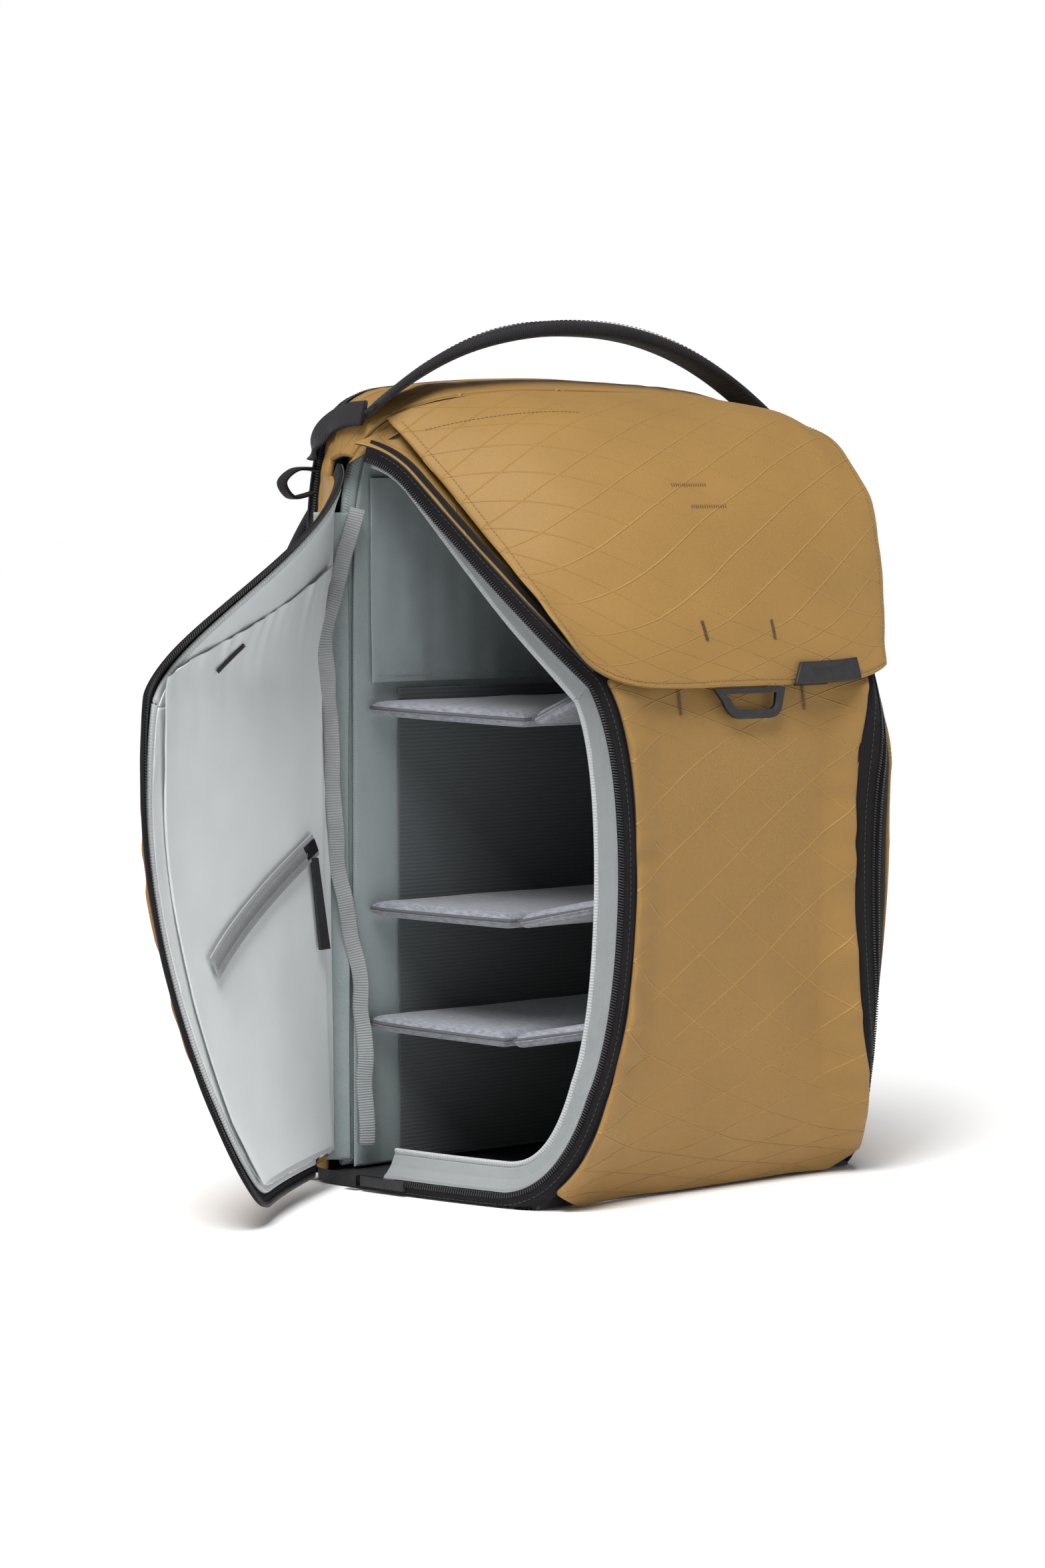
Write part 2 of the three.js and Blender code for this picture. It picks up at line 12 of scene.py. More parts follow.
import bmesh
import bpy
import numpy as np
from mathutils import Vector
from mathutils.kdtree import KDTree
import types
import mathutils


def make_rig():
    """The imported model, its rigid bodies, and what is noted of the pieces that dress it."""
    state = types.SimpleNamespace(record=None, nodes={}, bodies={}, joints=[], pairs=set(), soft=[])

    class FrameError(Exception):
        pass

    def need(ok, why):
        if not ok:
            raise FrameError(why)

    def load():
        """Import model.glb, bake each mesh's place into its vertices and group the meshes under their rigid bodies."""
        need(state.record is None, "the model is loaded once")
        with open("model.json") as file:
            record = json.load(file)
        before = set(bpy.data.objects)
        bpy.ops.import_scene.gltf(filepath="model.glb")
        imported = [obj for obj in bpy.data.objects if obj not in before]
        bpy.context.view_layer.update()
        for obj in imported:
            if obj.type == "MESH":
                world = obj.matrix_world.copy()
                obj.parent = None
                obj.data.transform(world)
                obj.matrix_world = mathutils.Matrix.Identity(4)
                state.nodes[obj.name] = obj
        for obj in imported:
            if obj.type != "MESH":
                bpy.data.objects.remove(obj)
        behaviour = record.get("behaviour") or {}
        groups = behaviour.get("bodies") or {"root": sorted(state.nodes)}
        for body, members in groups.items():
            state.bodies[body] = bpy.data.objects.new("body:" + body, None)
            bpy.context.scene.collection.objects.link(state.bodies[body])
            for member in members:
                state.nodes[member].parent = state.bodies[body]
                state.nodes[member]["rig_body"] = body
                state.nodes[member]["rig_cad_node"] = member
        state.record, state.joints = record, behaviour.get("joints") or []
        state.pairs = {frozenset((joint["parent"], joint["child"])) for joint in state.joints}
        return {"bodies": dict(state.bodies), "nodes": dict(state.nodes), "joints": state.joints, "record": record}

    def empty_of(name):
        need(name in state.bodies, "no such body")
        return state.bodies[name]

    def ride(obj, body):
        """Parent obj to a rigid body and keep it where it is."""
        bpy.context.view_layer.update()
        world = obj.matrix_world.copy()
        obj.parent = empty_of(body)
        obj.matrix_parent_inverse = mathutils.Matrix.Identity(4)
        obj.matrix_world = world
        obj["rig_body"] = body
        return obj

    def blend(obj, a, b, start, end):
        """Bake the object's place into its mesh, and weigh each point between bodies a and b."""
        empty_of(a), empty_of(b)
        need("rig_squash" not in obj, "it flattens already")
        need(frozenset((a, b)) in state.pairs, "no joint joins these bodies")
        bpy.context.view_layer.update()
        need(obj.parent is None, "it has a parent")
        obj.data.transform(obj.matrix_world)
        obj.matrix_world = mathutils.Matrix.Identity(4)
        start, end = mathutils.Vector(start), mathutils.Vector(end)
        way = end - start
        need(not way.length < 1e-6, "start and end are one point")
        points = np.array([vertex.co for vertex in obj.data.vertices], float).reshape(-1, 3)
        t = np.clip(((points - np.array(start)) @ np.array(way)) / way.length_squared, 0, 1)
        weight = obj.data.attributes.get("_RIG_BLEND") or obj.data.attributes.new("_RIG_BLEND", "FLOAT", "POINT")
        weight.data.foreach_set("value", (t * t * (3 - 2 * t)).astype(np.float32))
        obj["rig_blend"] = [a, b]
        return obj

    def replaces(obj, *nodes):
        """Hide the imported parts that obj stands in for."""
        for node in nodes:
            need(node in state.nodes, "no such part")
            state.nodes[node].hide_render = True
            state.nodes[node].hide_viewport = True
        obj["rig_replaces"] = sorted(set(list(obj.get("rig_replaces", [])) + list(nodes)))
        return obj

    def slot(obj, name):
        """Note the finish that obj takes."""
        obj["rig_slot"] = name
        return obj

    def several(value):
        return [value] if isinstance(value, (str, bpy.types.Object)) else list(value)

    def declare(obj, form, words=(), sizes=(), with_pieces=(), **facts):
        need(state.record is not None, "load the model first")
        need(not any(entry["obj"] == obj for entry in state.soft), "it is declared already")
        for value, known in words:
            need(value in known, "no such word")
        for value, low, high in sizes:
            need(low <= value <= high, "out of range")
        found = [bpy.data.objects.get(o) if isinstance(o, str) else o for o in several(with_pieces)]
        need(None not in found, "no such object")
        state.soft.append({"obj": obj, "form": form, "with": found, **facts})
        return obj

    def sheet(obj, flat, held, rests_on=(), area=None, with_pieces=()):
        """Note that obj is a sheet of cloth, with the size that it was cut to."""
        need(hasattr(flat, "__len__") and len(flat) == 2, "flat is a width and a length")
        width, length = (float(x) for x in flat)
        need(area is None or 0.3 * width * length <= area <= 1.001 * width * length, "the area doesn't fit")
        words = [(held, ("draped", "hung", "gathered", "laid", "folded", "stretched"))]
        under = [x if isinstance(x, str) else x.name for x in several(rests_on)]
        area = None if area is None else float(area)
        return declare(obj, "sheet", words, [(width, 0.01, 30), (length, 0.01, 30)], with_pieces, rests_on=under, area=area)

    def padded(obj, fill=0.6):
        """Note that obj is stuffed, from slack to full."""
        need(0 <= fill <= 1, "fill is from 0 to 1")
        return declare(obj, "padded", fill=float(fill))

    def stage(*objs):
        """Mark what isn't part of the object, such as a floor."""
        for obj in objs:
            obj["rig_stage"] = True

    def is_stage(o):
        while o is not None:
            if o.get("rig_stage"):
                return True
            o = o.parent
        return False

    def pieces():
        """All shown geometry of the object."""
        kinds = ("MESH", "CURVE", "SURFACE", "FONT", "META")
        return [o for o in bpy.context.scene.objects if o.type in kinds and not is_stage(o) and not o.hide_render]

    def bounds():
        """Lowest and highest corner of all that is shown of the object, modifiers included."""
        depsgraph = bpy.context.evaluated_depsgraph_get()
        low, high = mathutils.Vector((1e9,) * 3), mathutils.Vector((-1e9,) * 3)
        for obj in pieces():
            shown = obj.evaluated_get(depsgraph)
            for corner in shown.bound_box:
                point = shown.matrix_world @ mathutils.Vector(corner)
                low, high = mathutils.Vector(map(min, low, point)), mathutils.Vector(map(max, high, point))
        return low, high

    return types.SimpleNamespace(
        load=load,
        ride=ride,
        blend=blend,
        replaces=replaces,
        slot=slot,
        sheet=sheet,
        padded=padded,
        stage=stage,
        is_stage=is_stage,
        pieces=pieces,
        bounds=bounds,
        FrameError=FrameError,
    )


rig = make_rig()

MM = 0.001

# ---- dimensions shared with the CAD ------------------------------------------------------------

HINGE = (162.0, 78.0)
FRONT_EDGE = (94.0, -103.0)
SIDE_PULL = ((150.0, 8.0), (124.0, -90.0))
DOOR_OPEN = math.radians(87)
RIGHT_SWELL = 13.0
DOOR_LOW, DOOR_HIGH = 8.0, 418.0
STIFF_Z = 265.0  # the height at which the open door is flat, and follows its hinge fully
FOOT_LAG = (-479.0, 240.0)  # heights from where the door would not move to where it moves fully
TOP_LAG = (507.0, 290.0)
TAPE_WIDTH = 9.5
TAPE_GAP = 0.4
BASE_RUN_LENGTH = 110.0
SKIN = 4.0
BODY_TOP = 467.0
SEAM_START = (-0.146, 0.066, 0.2)  # metres: the wall beside the open hinge
BACK_Y = 92.0
BACK_THICK = 10.0
WALL_Y = 70.0
BASE_TOP = 8.0
FLAP_THICK = 3.0
HANDLE_Y = 48.0
HANDLE_HALF = 151.0
DIVIDER_THICK = 9.0
DIVIDER_REAR_Y = 66.0
CREASE_GAP = 2.5
WALL_ALLOWANCE = 19.0  # from the side's surface to the edge of a divider
WIDEST_SHELF = 138.0  # half the width of a divider at its rear

# name, rear z, crease y, crease z, front y, rise of the leaf's front edge
DIVIDERS = (
    ("top", 276, -38, 272, -83, 23),
    ("middle", 160, -30, 158, -88, 13),
    ("bottom", 94, -27, 90, -86, 11),
)

LEFT, RIGHT = -1, 1
SIDES = ((LEFT, "left"), (RIGHT, "right"))

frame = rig.load()
cad_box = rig.bounds()


# ---- lines and noise ---------------------------------------------------------------------------


def smooth(x, low, high):
    """0 below low, 1 above high, and an even rise between."""
    t = np.clip((np.asarray(x, float) - low) / (high - low), 0, 1)
    return t * t * (3 - 2 * t)


def mix(a, b, t):
    return a + (b - a) * t


def peak(x, centre, width):
    """1 at the centre, fading to either side."""
    return np.exp(-(((x - centre) / width) ** 2))


def xyz(x, y, z):
    """Points from their coordinates."""
    return np.stack(np.broadcast_arrays(x, y, z), -1)


def from_rim(u, v, wide, high):
    """The distance from the nearest edge of a sheet that is wide by high."""
    return np.minimum(np.minimum(u, 1 - u) * wide, np.minimum(v, 1 - v) * high)


def cubic(a, b, c, d, t):
    return a * (1 - t) ** 3 + 3 * b * t * (1 - t) ** 2 + 3 * c * t * t * (1 - t) + d * t**3


def noise(points, size, seed=0):
    """Smooth noise from -1 to 1, with features about size millimetres across (a number or three)."""
    q = np.asarray(points, float) / np.asarray(size, float) + seed * 37.7
    cell = np.floor(q).astype(np.int64)
    f = q - cell
    f = f * f * (3 - 2 * f)
    total = np.zeros(q.shape[:-1])
    for corner in itertools.product((0, 1), repeat=3):
        c = cell + np.array(corner)
        h = (c[..., 0] * 374761393 + c[..., 1] * 668265263 + c[..., 2] * 2147483647) & 0xFFFFFFFF
        h = ((h ^ (h >> 13)) * 1274126177) & 0xFFFFFFFF
        value = ((h ^ (h >> 16)) & 0xFFFF) / 0x7FFF - 1
        total += value * np.prod(np.where(corner, f, 1 - f), axis=-1)
    return total


class Line:
    """A line through close points, read by its share of the length."""

    def __init__(self, points):
        self.points = np.asarray(points, float)
        steps = np.linalg.norm(np.diff(self.points, axis=0), axis=1)
        self.reached = np.concatenate([[0], np.cumsum(steps)])
        self.length = self.reached[-1]

    def at(self, share):
        s = np.asarray(share, float) * self.length
        return np.stack([np.interp(s, self.reached, c) for c in self.points.T], -1)

    def along(self, share):
        step = 0.002
        low = np.clip(np.asarray(share, float) - step, 0, 1 - 2 * step)
        return unit(self.at(low + 2 * step) - self.at(low))

    def shares(self, pitch):
        return np.linspace(0, 1, max(2, round(self.length / pitch) + 1))


def unit(v):
    return v / np.maximum(np.linalg.norm(v, axis=-1, keepdims=True), 1e-12)


def bezier(a, b, c, d, count=80):
    t = np.linspace(0, 1, count)[:, None]
    return cubic(*(np.array(p, float) for p in (a, b, c, d)), t)


def spline(points, count=60):
    """A centripetal Catmull-Rom line, with count steps from each point to the next."""
    p = [np.array(x, float) for x in points]
    p = [2 * p[0] - p[1], *p, 2 * p[-1] - p[-2]]
    out = []
    for i in range(len(p) - 3):
        a, b, c, d = p[i : i + 4]
        t0, t1, t2 = (np.linalg.norm(y - x) ** 0.5 for x, y in ((a, b), (b, c), (c, d)))
        m1 = ((b - a) / t0 - (c - a) / (t0 + t1) + (c - b) / t1) * t1
        m2 = ((c - b) / t1 - (d - b) / (t1 + t2) + (d - c) / t2) * t1
        t = np.linspace(0, 1, count, endpoint=False)[:, None]
        out.append(
            b
            + m1 * t
            + (3 * (c - b) - 2 * m1 - m2) * t**2
            + (2 * (b - c) + m1 + m2) * t**3
        )
    return np.vstack([*out, p[-2]])


class Knots:
    """A spline read by its parameter, with the same share of it between each pair of points."""

    def __init__(self, points):
        self.points = spline(points)
        self.share = np.linspace(0, 1, len(self.points))

    def at(self, t):
        return np.stack([np.interp(t, self.share, c) for c in self.points.T], -1)


# ---- surfaces of the bag -----------------------------------------------------------------------

side_plan = Line(bezier(HINGE, *SIDE_PULL, FRONT_EDGE, count=400))
zip_line = Line(
    np.vstack(
        [
            np.linspace((12, DOOR_LOW), (122, DOOR_LOW), 40),
            bezier((122, DOOR_LOW), (150, DOOR_LOW), (168, 28), (180, 66)),
            bezier((180, 66), (200, 112), (206, 245), (180, 292)),
            np.linspace((180, 292), (62, 401), 40),
            bezier((62, 401), (48, 414), (30, DOOR_HIGH), (12, DOOR_HIGH)),
        ]
    )
)
BASE_RUN = BASE_RUN_LENGTH / zip_line.length


def swelling(side, w, z):
    """The closed right side is packed full, so it stands out further."""
    across = smooth(w, 30, 150) * (1 - smooth(w, 184, 214))
    upward = smooth(z, 0, 200) * (1 - smooth(z, 240, 316))
    return RIGHT_SWELL * across * upward if side == RIGHT else 0.0


def side_point(side, w, z, depth=0.0):
    """w is measured along the side from the hinge line, depth inwards from the surface."""
    w, z, depth = np.broadcast_arrays(*(np.asarray(x, float) for x in (w, z, depth)))
    share = np.clip(w / side_plan.length, 0, 1)
    d = side_plan.along(share)
    p = side_plan.at(share) + d * (w - share * side_plan.length)[..., None]
    depth = depth - swelling(side, w, z)
    return xyz(side * (p[..., 0] + d[..., 1] * depth), p[..., 1] - d[..., 0] * depth, z)


def zip_point(t, out):
    """(w, z) beside the zip line, outwards from the door by out."""
    p, d = zip_line.at(t), zip_line.along(t)
    out = np.asarray(out, float)
    return np.stack([p[..., 0] + d[..., 1] * out, np.maximum(p[..., 1] - d[..., 0] * out, 1.2)], -1)


def beside_zip(side, t, out, depth):
    t, out, depth = np.broadcast_arrays(*(np.asarray(x, float) for x in (t, out, depth)))
    p = zip_point(t, out)
    return side_point(side, p[..., 0], p[..., 1], depth)


def door_area(inset, hinge_w, from_t, to_t):
    """(w, z) over the door, from the hinge (u 0) to the zip (u 1), along the zip (v)."""

    def place(u, v):
        edge = zip_point(mix(from_t, to_t, v), -inset)
        w = mix(hinge_w, np.maximum(edge[..., 0], hinge_w + 6), 1 - (1 - u) ** 1.5)
        return w, edge[..., 1]

    return place


def openness(z):
    """How far the soft left door has swung at each height, as a share of its hinge's angle."""
    return np.where(z < STIFF_Z, smooth(z, *FOOT_LAG), smooth(z, *TOP_LAG))


def swing(points, side):
    """Points of a door, from closed to how it stands: the left one is open, and twists."""
    if side == RIGHT:
        return points
    pivot = np.array([side * HINGE[0], HINGE[1]])
    angle = -DOOR_OPEN * openness(points[..., 2])
    c, s = np.cos(angle), np.sin(angle)
    flat = points[..., :2] - pivot
    turned = np.stack([flat[..., 0] * c - flat[..., 1] * s, flat[..., 0] * s + flat[..., 1] * c], -1)
    return np.concatenate([turned + pivot, points[..., 2:]], -1)


front_profile = Knots(
    [(-69, 0), (-84, 30), (-96, 90), (-103, 180), (-103, 262), (-95.5, 302), (-86, 322)]
)
front_side_t = np.linspace(BASE_RUN, 0.68, 400)
front_side_edge = zip_point(front_side_t, TAPE_WIDTH + 3)


def front_surface(u, v):
    """The front panel, from one side's zip to the other's (u) and from the base up (v)."""
    profile = front_profile.at(v)
    z = profile[..., 1]
    w = np.interp(np.clip(z, 9, 296), front_side_edge[:, 1], front_side_edge[:, 0])
    w = w + 1.5 * (1 - smooth(z, 40, 80))
    h = 2 * u - 1
    left, right = (side_point(side, w, z) * [side, 1, 1] for side in (LEFT, RIGHT))
    on_side = np.where((h < 0)[..., None], left, right)
    keep = smooth(z, -6, 12)
    edge_x = mix(90, on_side[..., 0], keep)
    edge_y = mix(-69, on_side[..., 1], keep)
    under_flap = smooth(z, 292, 322)
    to_edge = smooth(abs(h), 0.7, 1) * (1 - under_flap)
    x = h * edge_x * (1 - 0.09 * under_flap)
    return xyz(x, mix(profile[..., 0], edge_y, to_edge), z - 14 * under_flap * h**4)


flap_middle = Knots([(-110, 291), (-98, 327), (-67, 392), (-22, 438), (29, 460)])
FLAP_EDGE_LOW = np.array([121.0, -102.0, 316.0])
FLAP_EDGE_HIGH = np.array([143.0, 43.0, 443.0])
flap_edge_right = Knots(
    [(112, -101, 299), (131, -82, 340), (141, -58, 396), (139, -24, 434), (142.5, 43, 442)]
)


def flap_point(h, v):
    """h is -1 at the left edge and 1 at the right; v is 0 at the hem and 1 at the rear seam."""
    h, v = np.broadcast_arrays(np.asarray(h, float), np.asarray(v, float))
    middle = flap_middle.at(v)
    left = mix(FLAP_EDGE_LOW, FLAP_EDGE_HIGH, v[..., None])
    edge = np.where((h > 0)[..., None], flap_edge_right.at(v), left)
    drop = abs(h) ** mix(6, 2.5, smooth(v, 0, 0.3))
    y = mix(middle[..., 0], edge[..., 1], drop)
    return xyz(h * edge[..., 0], y, mix(middle[..., 1], edge[..., 2], drop))


def shoulder_surface(side):
    """The slack fabric between a door's zip and the flap, over surface(u, v)."""
    inward = np.array([-side * 0.4, 0.5, -0.75])

    def surface(u, v):
        close = smooth(u, 0.7, 1)
        lower = beside_zip(side, mix(0.672, 0.982, u), TAPE_WIDTH + 1.4, 0)
        upper = flap_point(side * mix(0.8, 0.93, close), mix(0.14, 1.0, u))
        upper = upper + inward * (11 - 7 * close)[..., None]
        sag = (8 * (1 - 0.8 * close) * np.sin(np.pi * v) ** 0.7)[..., None] * inward
        return mix(lower, upper, v[..., None]) + sag

    return surface


top_front = Knots([(0, 32, 460), (70, 33, 458.5), (115, 38, 453), (142, 49, 440), (156, 60, 420)])
top_rear = Knots([(0, 79, 467), (64, 79, 464.5), (115, 79, 459.5), (146, 79, 444), (157, 79, 418)])


def top_surface(u, v):
    """The fabric between the flap's rear seam (v 0) and the rear band (v 1)."""
    h = 2 * u - 1
    p = mix(top_front.at(abs(h)), top_rear.at(abs(h)), v[..., None])
    p[..., 0] *= np.sign(h)
    p[..., 2] += 2 * np.sin(np.pi * v)
    return p


def rear_outline(inset, low=BASE_TOP):
    """The bag's silhouette from behind, from one foot over the top to the other."""
    half, top = HINGE[0] - inset, BODY_TOP - inset
    side = np.vstack(
        [
            np.linspace((half, low), (half, 300), 30),
            bezier((half, 300), (half, 420), (half - 4, top - 12), (half - 50, top - 7)),
            bezier((half - 50, top - 7), (half - 82, top - 3), (half * 0.25, top), (0, top)),
        ]
    )
    return Line(np.vstack([side, (side * [-1, 1])[::-1]]))


def rear_surface(inset, y0, y1):
    """A band round the silhouette, from y0 to y1."""
    line = rear_outline(inset)

    def surface(u, v):
        p = line.at(u)
        return xyz(p[..., 0], mix(y0, y1, v), p[..., 1])

    return surface


# ---- meshes ------------------------------------------------------------------------------------


def add_to_scene(name, data):
    obj = bpy.data.objects.new(name, data)
    bpy.context.scene.collection.objects.link(obj)
    return obj


def build(name, points, faces, material, uv=None):
    """A smooth mesh object in metres from millimetres, with UVs in metres where they are given."""
    mesh = bpy.data.meshes.new(name)
    mesh.from_pydata((np.asarray(points) * MM).tolist(), [], faces)
    mesh.polygons.foreach_set("use_smooth", [True] * len(mesh.polygons))
    mesh.materials.append(material)
    if uv is not None:
        layer = mesh.uv_layers.new(name="metres")
        index = np.zeros(len(mesh.loops), int)
        mesh.loops.foreach_get("vertex_index", index)
        layer.data.foreach_set("uv", (uv[index] * MM).ravel())
    return add_to_scene(name, mesh)


def outward_faces(points, faces):
    a, b, c, d = (points[faces[:, i]] for i in range(4))
    volume = sum(np.einsum("ij,ij->i", a, np.cross(p, q)).sum() for p, q in ((b, c), (c, d)))
    return faces[:, ::-1] if volume < 0 else faces


def steps(count, length, radius):
    """Shares of a length, with extra ones inside the rounded edge at both ends."""
    length = max(length, 4 * radius)
    edge = np.array([0, 0.12, 0.4, 0.75]) * radius / length
    inner = np.linspace(radius / length, 1 - radius / length, count)
    return np.concatenate([edge, inner, (1 - edge)[::-1]])


MIDDLE = np.array([0.0, 0.0, 220.0])


def cloth(name, surface, columns, rows, thick, material, relief=None, radius=None,
          inner=None, place=None, away=MIDDLE, uv=None):
    """A closed piece of fabric with rounded edges over surface(u, v), whose face is its outer side.

    The face looks away from the point away. relief(points, u, v) is how far the fabric stands out,
    inner is the material of its other side, uv(u, v) gives its flat coordinates, and place moves
    the points at the end."""
    radius = radius or min(thick * 0.9, 2.0)
    coarse = surface(*np.meshgrid(np.linspace(0, 1, 9), np.linspace(0, 1, 9)))
    wide = np.linalg.norm(np.diff(coarse[4], axis=0), axis=-1).sum()
    high = np.linalg.norm(np.diff(coarse[:, 4], axis=0), axis=-1).sum()
    u, v = np.meshgrid(steps(columns, wide, radius), steps(rows, high, radius))
    p = surface(u, v)
    e = 1e-3
    du = surface(np.minimum(u + e, 1), v) - surface(np.maximum(u - e, 0), v)
    dv = surface(u, np.minimum(v + e, 1)) - surface(u, np.maximum(v - e, 0))
    normal = unit(np.cross(du, dv))
    flip = np.sign(np.einsum("ijk,ijk->ij", normal, p - away).sum()) or 1
    normal *= flip
    near = np.clip(1 - from_rim(u, v, wide, high) / radius, 0, 1)
    sink = thick / 2 * (1 - np.sqrt(np.clip(1 - near**2, 0, 1)))
    stand = relief(p, u, v) if relief else np.zeros(u.shape)
    outer = p + normal * (stand - sink)[..., None]
    under = p + normal * (stand * 0.5 - thick + sink)[..., None]
    across, down = u.shape[1], u.shape[0]
    points = np.vstack([outer.reshape(-1, 3), under.reshape(-1, 3)])
    faces, inner_from = slab_faces(down, across)
    flat = np.stack([u * wide, v * high], -1) if uv is None else np.stack(uv(u, v), -1)
    coordinates = np.vstack([flat.reshape(-1, 2)] * 2)
    turned = outward_faces(points, faces)
    if place:
        points = place(points)
    obj = build(name, points, turned.tolist(), material, coordinates)
    if inner:
        obj.data.materials.append(inner)
        index = np.zeros(len(faces), int)
        index[inner_from : inner_from + (down - 1) * (across - 1)] = 1
        obj.data.polygons.foreach_set("material_index", index)
    return obj


def slab_faces(down, across):
    """Quads over two grids of the same size and round their rim, and where the second grid starts."""
    grid = np.arange(down * across).reshape(down, across)
    far = grid + down * across

    def quads(g, flip):
        q = np.stack([g[:-1, :-1], g[:-1, 1:], g[1:, 1:], g[1:, :-1]], -1).reshape(-1, 4)
        return q[:, ::-1] if flip else q

    def wall(line, back):
        return np.stack([line[1:], line[:-1], back[:-1], back[1:]], -1)

    ring = np.concatenate([grid[0], grid[1:, -1], grid[-1, -2::-1], grid[-2::-1, 0]])
    back = np.concatenate([far[0], far[1:, -1], far[-1, -2::-1], far[-2::-1, 0]])
    front = quads(grid, False)
    return np.vstack([front, quads(far, True), wall(ring, back)]), len(front)


def sweep(name, route, sideways, section, material, scale=None):
    """A section (points across, points up) carried along a route; sideways is the across direction.

    scale, where it is given, is how much the section grows across and up at each point."""
    route = np.asarray(route, float)
    sideways = np.broadcast_to(np.asarray(sideways, float), route.shape)
    ahead = unit(np.gradient(route, axis=0))
    across = unit(sideways - ahead * np.einsum("ij,ij->i", sideways, ahead)[:, None])
    up = np.cross(ahead, across)
    section = np.asarray(section, float)
    scale = np.ones((len(route), 2)) if scale is None else np.asarray(scale, float)
    points = (
        route[:, None]
        + across[:, None] * (section[None, :, 0] * scale[:, :1])[..., None]
        + up[:, None] * (section[None, :, 1] * scale[:, 1:])[..., None]
    )
    n, m = len(route), len(section)
    grid = np.arange(n * m).reshape(n, m)
    grid = np.hstack([grid, grid[:, :1]])
    faces = np.stack([grid[:-1, :-1], grid[1:, :-1], grid[1:, 1:], grid[:-1, 1:]], -1).reshape(-1, 4)
    caps = []
    for k in range(m):
        caps.append([grid[0, k], grid[0, k + 1], n * m, n * m])
        caps.append([grid[-1, k + 1], grid[-1, k], n * m + 1, n * m + 1])
    uv = np.stack(np.meshgrid(Line(section).reached, Line(route).reached), -1).reshape(-1, 2)
    uv = np.vstack([uv, [0, 0], [0, 0]])
    points = np.vstack([points.reshape(-1, 3), route[0], route[-1]])
    turned = outward_faces(points, np.vstack([faces, caps]))
    corners = [list(dict.fromkeys(face)) for face in turned.tolist()]
    return build(name, points, corners, material, uv)


def oval(width, thick, count=20, power=3.0):
    """A rounded bar's section, round for power 2 and squarer above."""
    a = np.linspace(0, 2 * math.pi, count, endpoint=False)
    c, s = np.cos(a), np.sin(a)
    x, y = (np.sign(k) * abs(k) ** (2 / power) for k in (c, s))
    return np.stack([x * width / 2, y * thick / 2], -1)


# how far along a small bar each of its rings lies, and how wide it is there
BAR_RINGS = ((-0.5, 0.25), (-0.36, 0.8), (0, 1.0), (0.36, 0.8), (0.5, 0.25))
BAR_SIDES = 6


def bars(name, centres, ahead, up, length, width, height, material):
    """Small rounded bars, such as stitches and zip teeth, as one mesh."""
    ahead = unit(np.broadcast_to(ahead, centres.shape))
    across = unit(np.cross(np.broadcast_to(up, centres.shape), ahead))
    top = np.cross(ahead, across)
    ring = np.linspace(0, 2 * math.pi, BAR_SIDES, endpoint=False)
    shape = []
    for along, size in BAR_RINGS:
        for a in ring:
            shape.append((along * length, math.cos(a) * size * width / 2, math.sin(a) * size * height / 2))
    shape = np.array(shape)
    points = (
        centres[:, None]
        + ahead[:, None] * shape[None, :, :1]
        + across[:, None] * shape[None, :, 1:2]
        + top[:, None] * shape[None, :, 2:]
    )
    g = np.arange(len(shape)).reshape(len(BAR_RINGS), BAR_SIDES)
    g = np.hstack([g, g[:, :1]])
    one = np.stack([g[:-1, :-1], g[:-1, 1:], g[1:, 1:], g[1:, :-1]], -1).reshape(-1, 4).tolist()
    one += [list(g[0, :-1][::-1]), list(g[-1, :-1])]
    faces = [[i + k * len(shape) for i in f] for k in range(len(centres)) for f in one]
    return build(name, points.reshape(-1, 3), faces, material)


def at_shares(line, share, values):
    """Values given at each of a line's points, read at shares of its length."""
    return np.stack([np.interp(share * line.length, line.reached, c) for c in np.asarray(values).T], -1)


def teeth(name, line, up, material, pitch=1.55, width=3.4):
    """A coil zip's teeth along a line of points, lying across it, with up away from the tape."""
    line = Line(line)
    share = line.shares(pitch)
    up = at_shares(line, share, up)
    across = unit(np.cross(up, line.along(share)))
    lean = unit(across + 0.25 * line.along(share))
    return bars(name, line.at(share), lean, up, width, 0.95, 1.3, material)


def stitches(name, line, up, material, pitch=3.4, length=2.5):
    """A row of stitches along a line of points."""
    line = Line(line)
    share = line.shares(pitch)[1:-1]
    up = at_shares(line, share, np.broadcast_to(up, line.points.shape))
    return bars(name, line.at(share) + up * 0.15, line.along(share), up, length, 0.55, 0.5, material)


TACK_TURNS = 16
TACK_HALF = 0.9


def tack(name, surface_point, width, material):
    """A bar tack: close zigzag stitches over width millimetres. surface_point(s, t) is on the fabric."""
    s = np.linspace(-0.5, 0.5, TACK_TURNS) * width
    low = surface_point(s, -TACK_HALF)
    high = surface_point(s + width / TACK_TURNS / 2, TACK_HALF)
    centres = (low + high) / 2
    up = unit(np.cross(surface_point(s + 0.5, 0) - surface_point(s, 0), high - low))
    up *= np.sign(np.einsum("ij,ij->i", up, centres - MIDDLE))[:, None]
    return bars(name, centres + up * 0.3, high - low, up, 2.6, 0.6, 0.6, material)


def ride(obj, body, slot, *nodes):
    """obj rides on body, takes its finish from slot, and stands for nodes."""
    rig.ride(obj, body)
    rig.slot(obj, slot)
    if nodes:
        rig.replaces(obj, *nodes)
    return obj


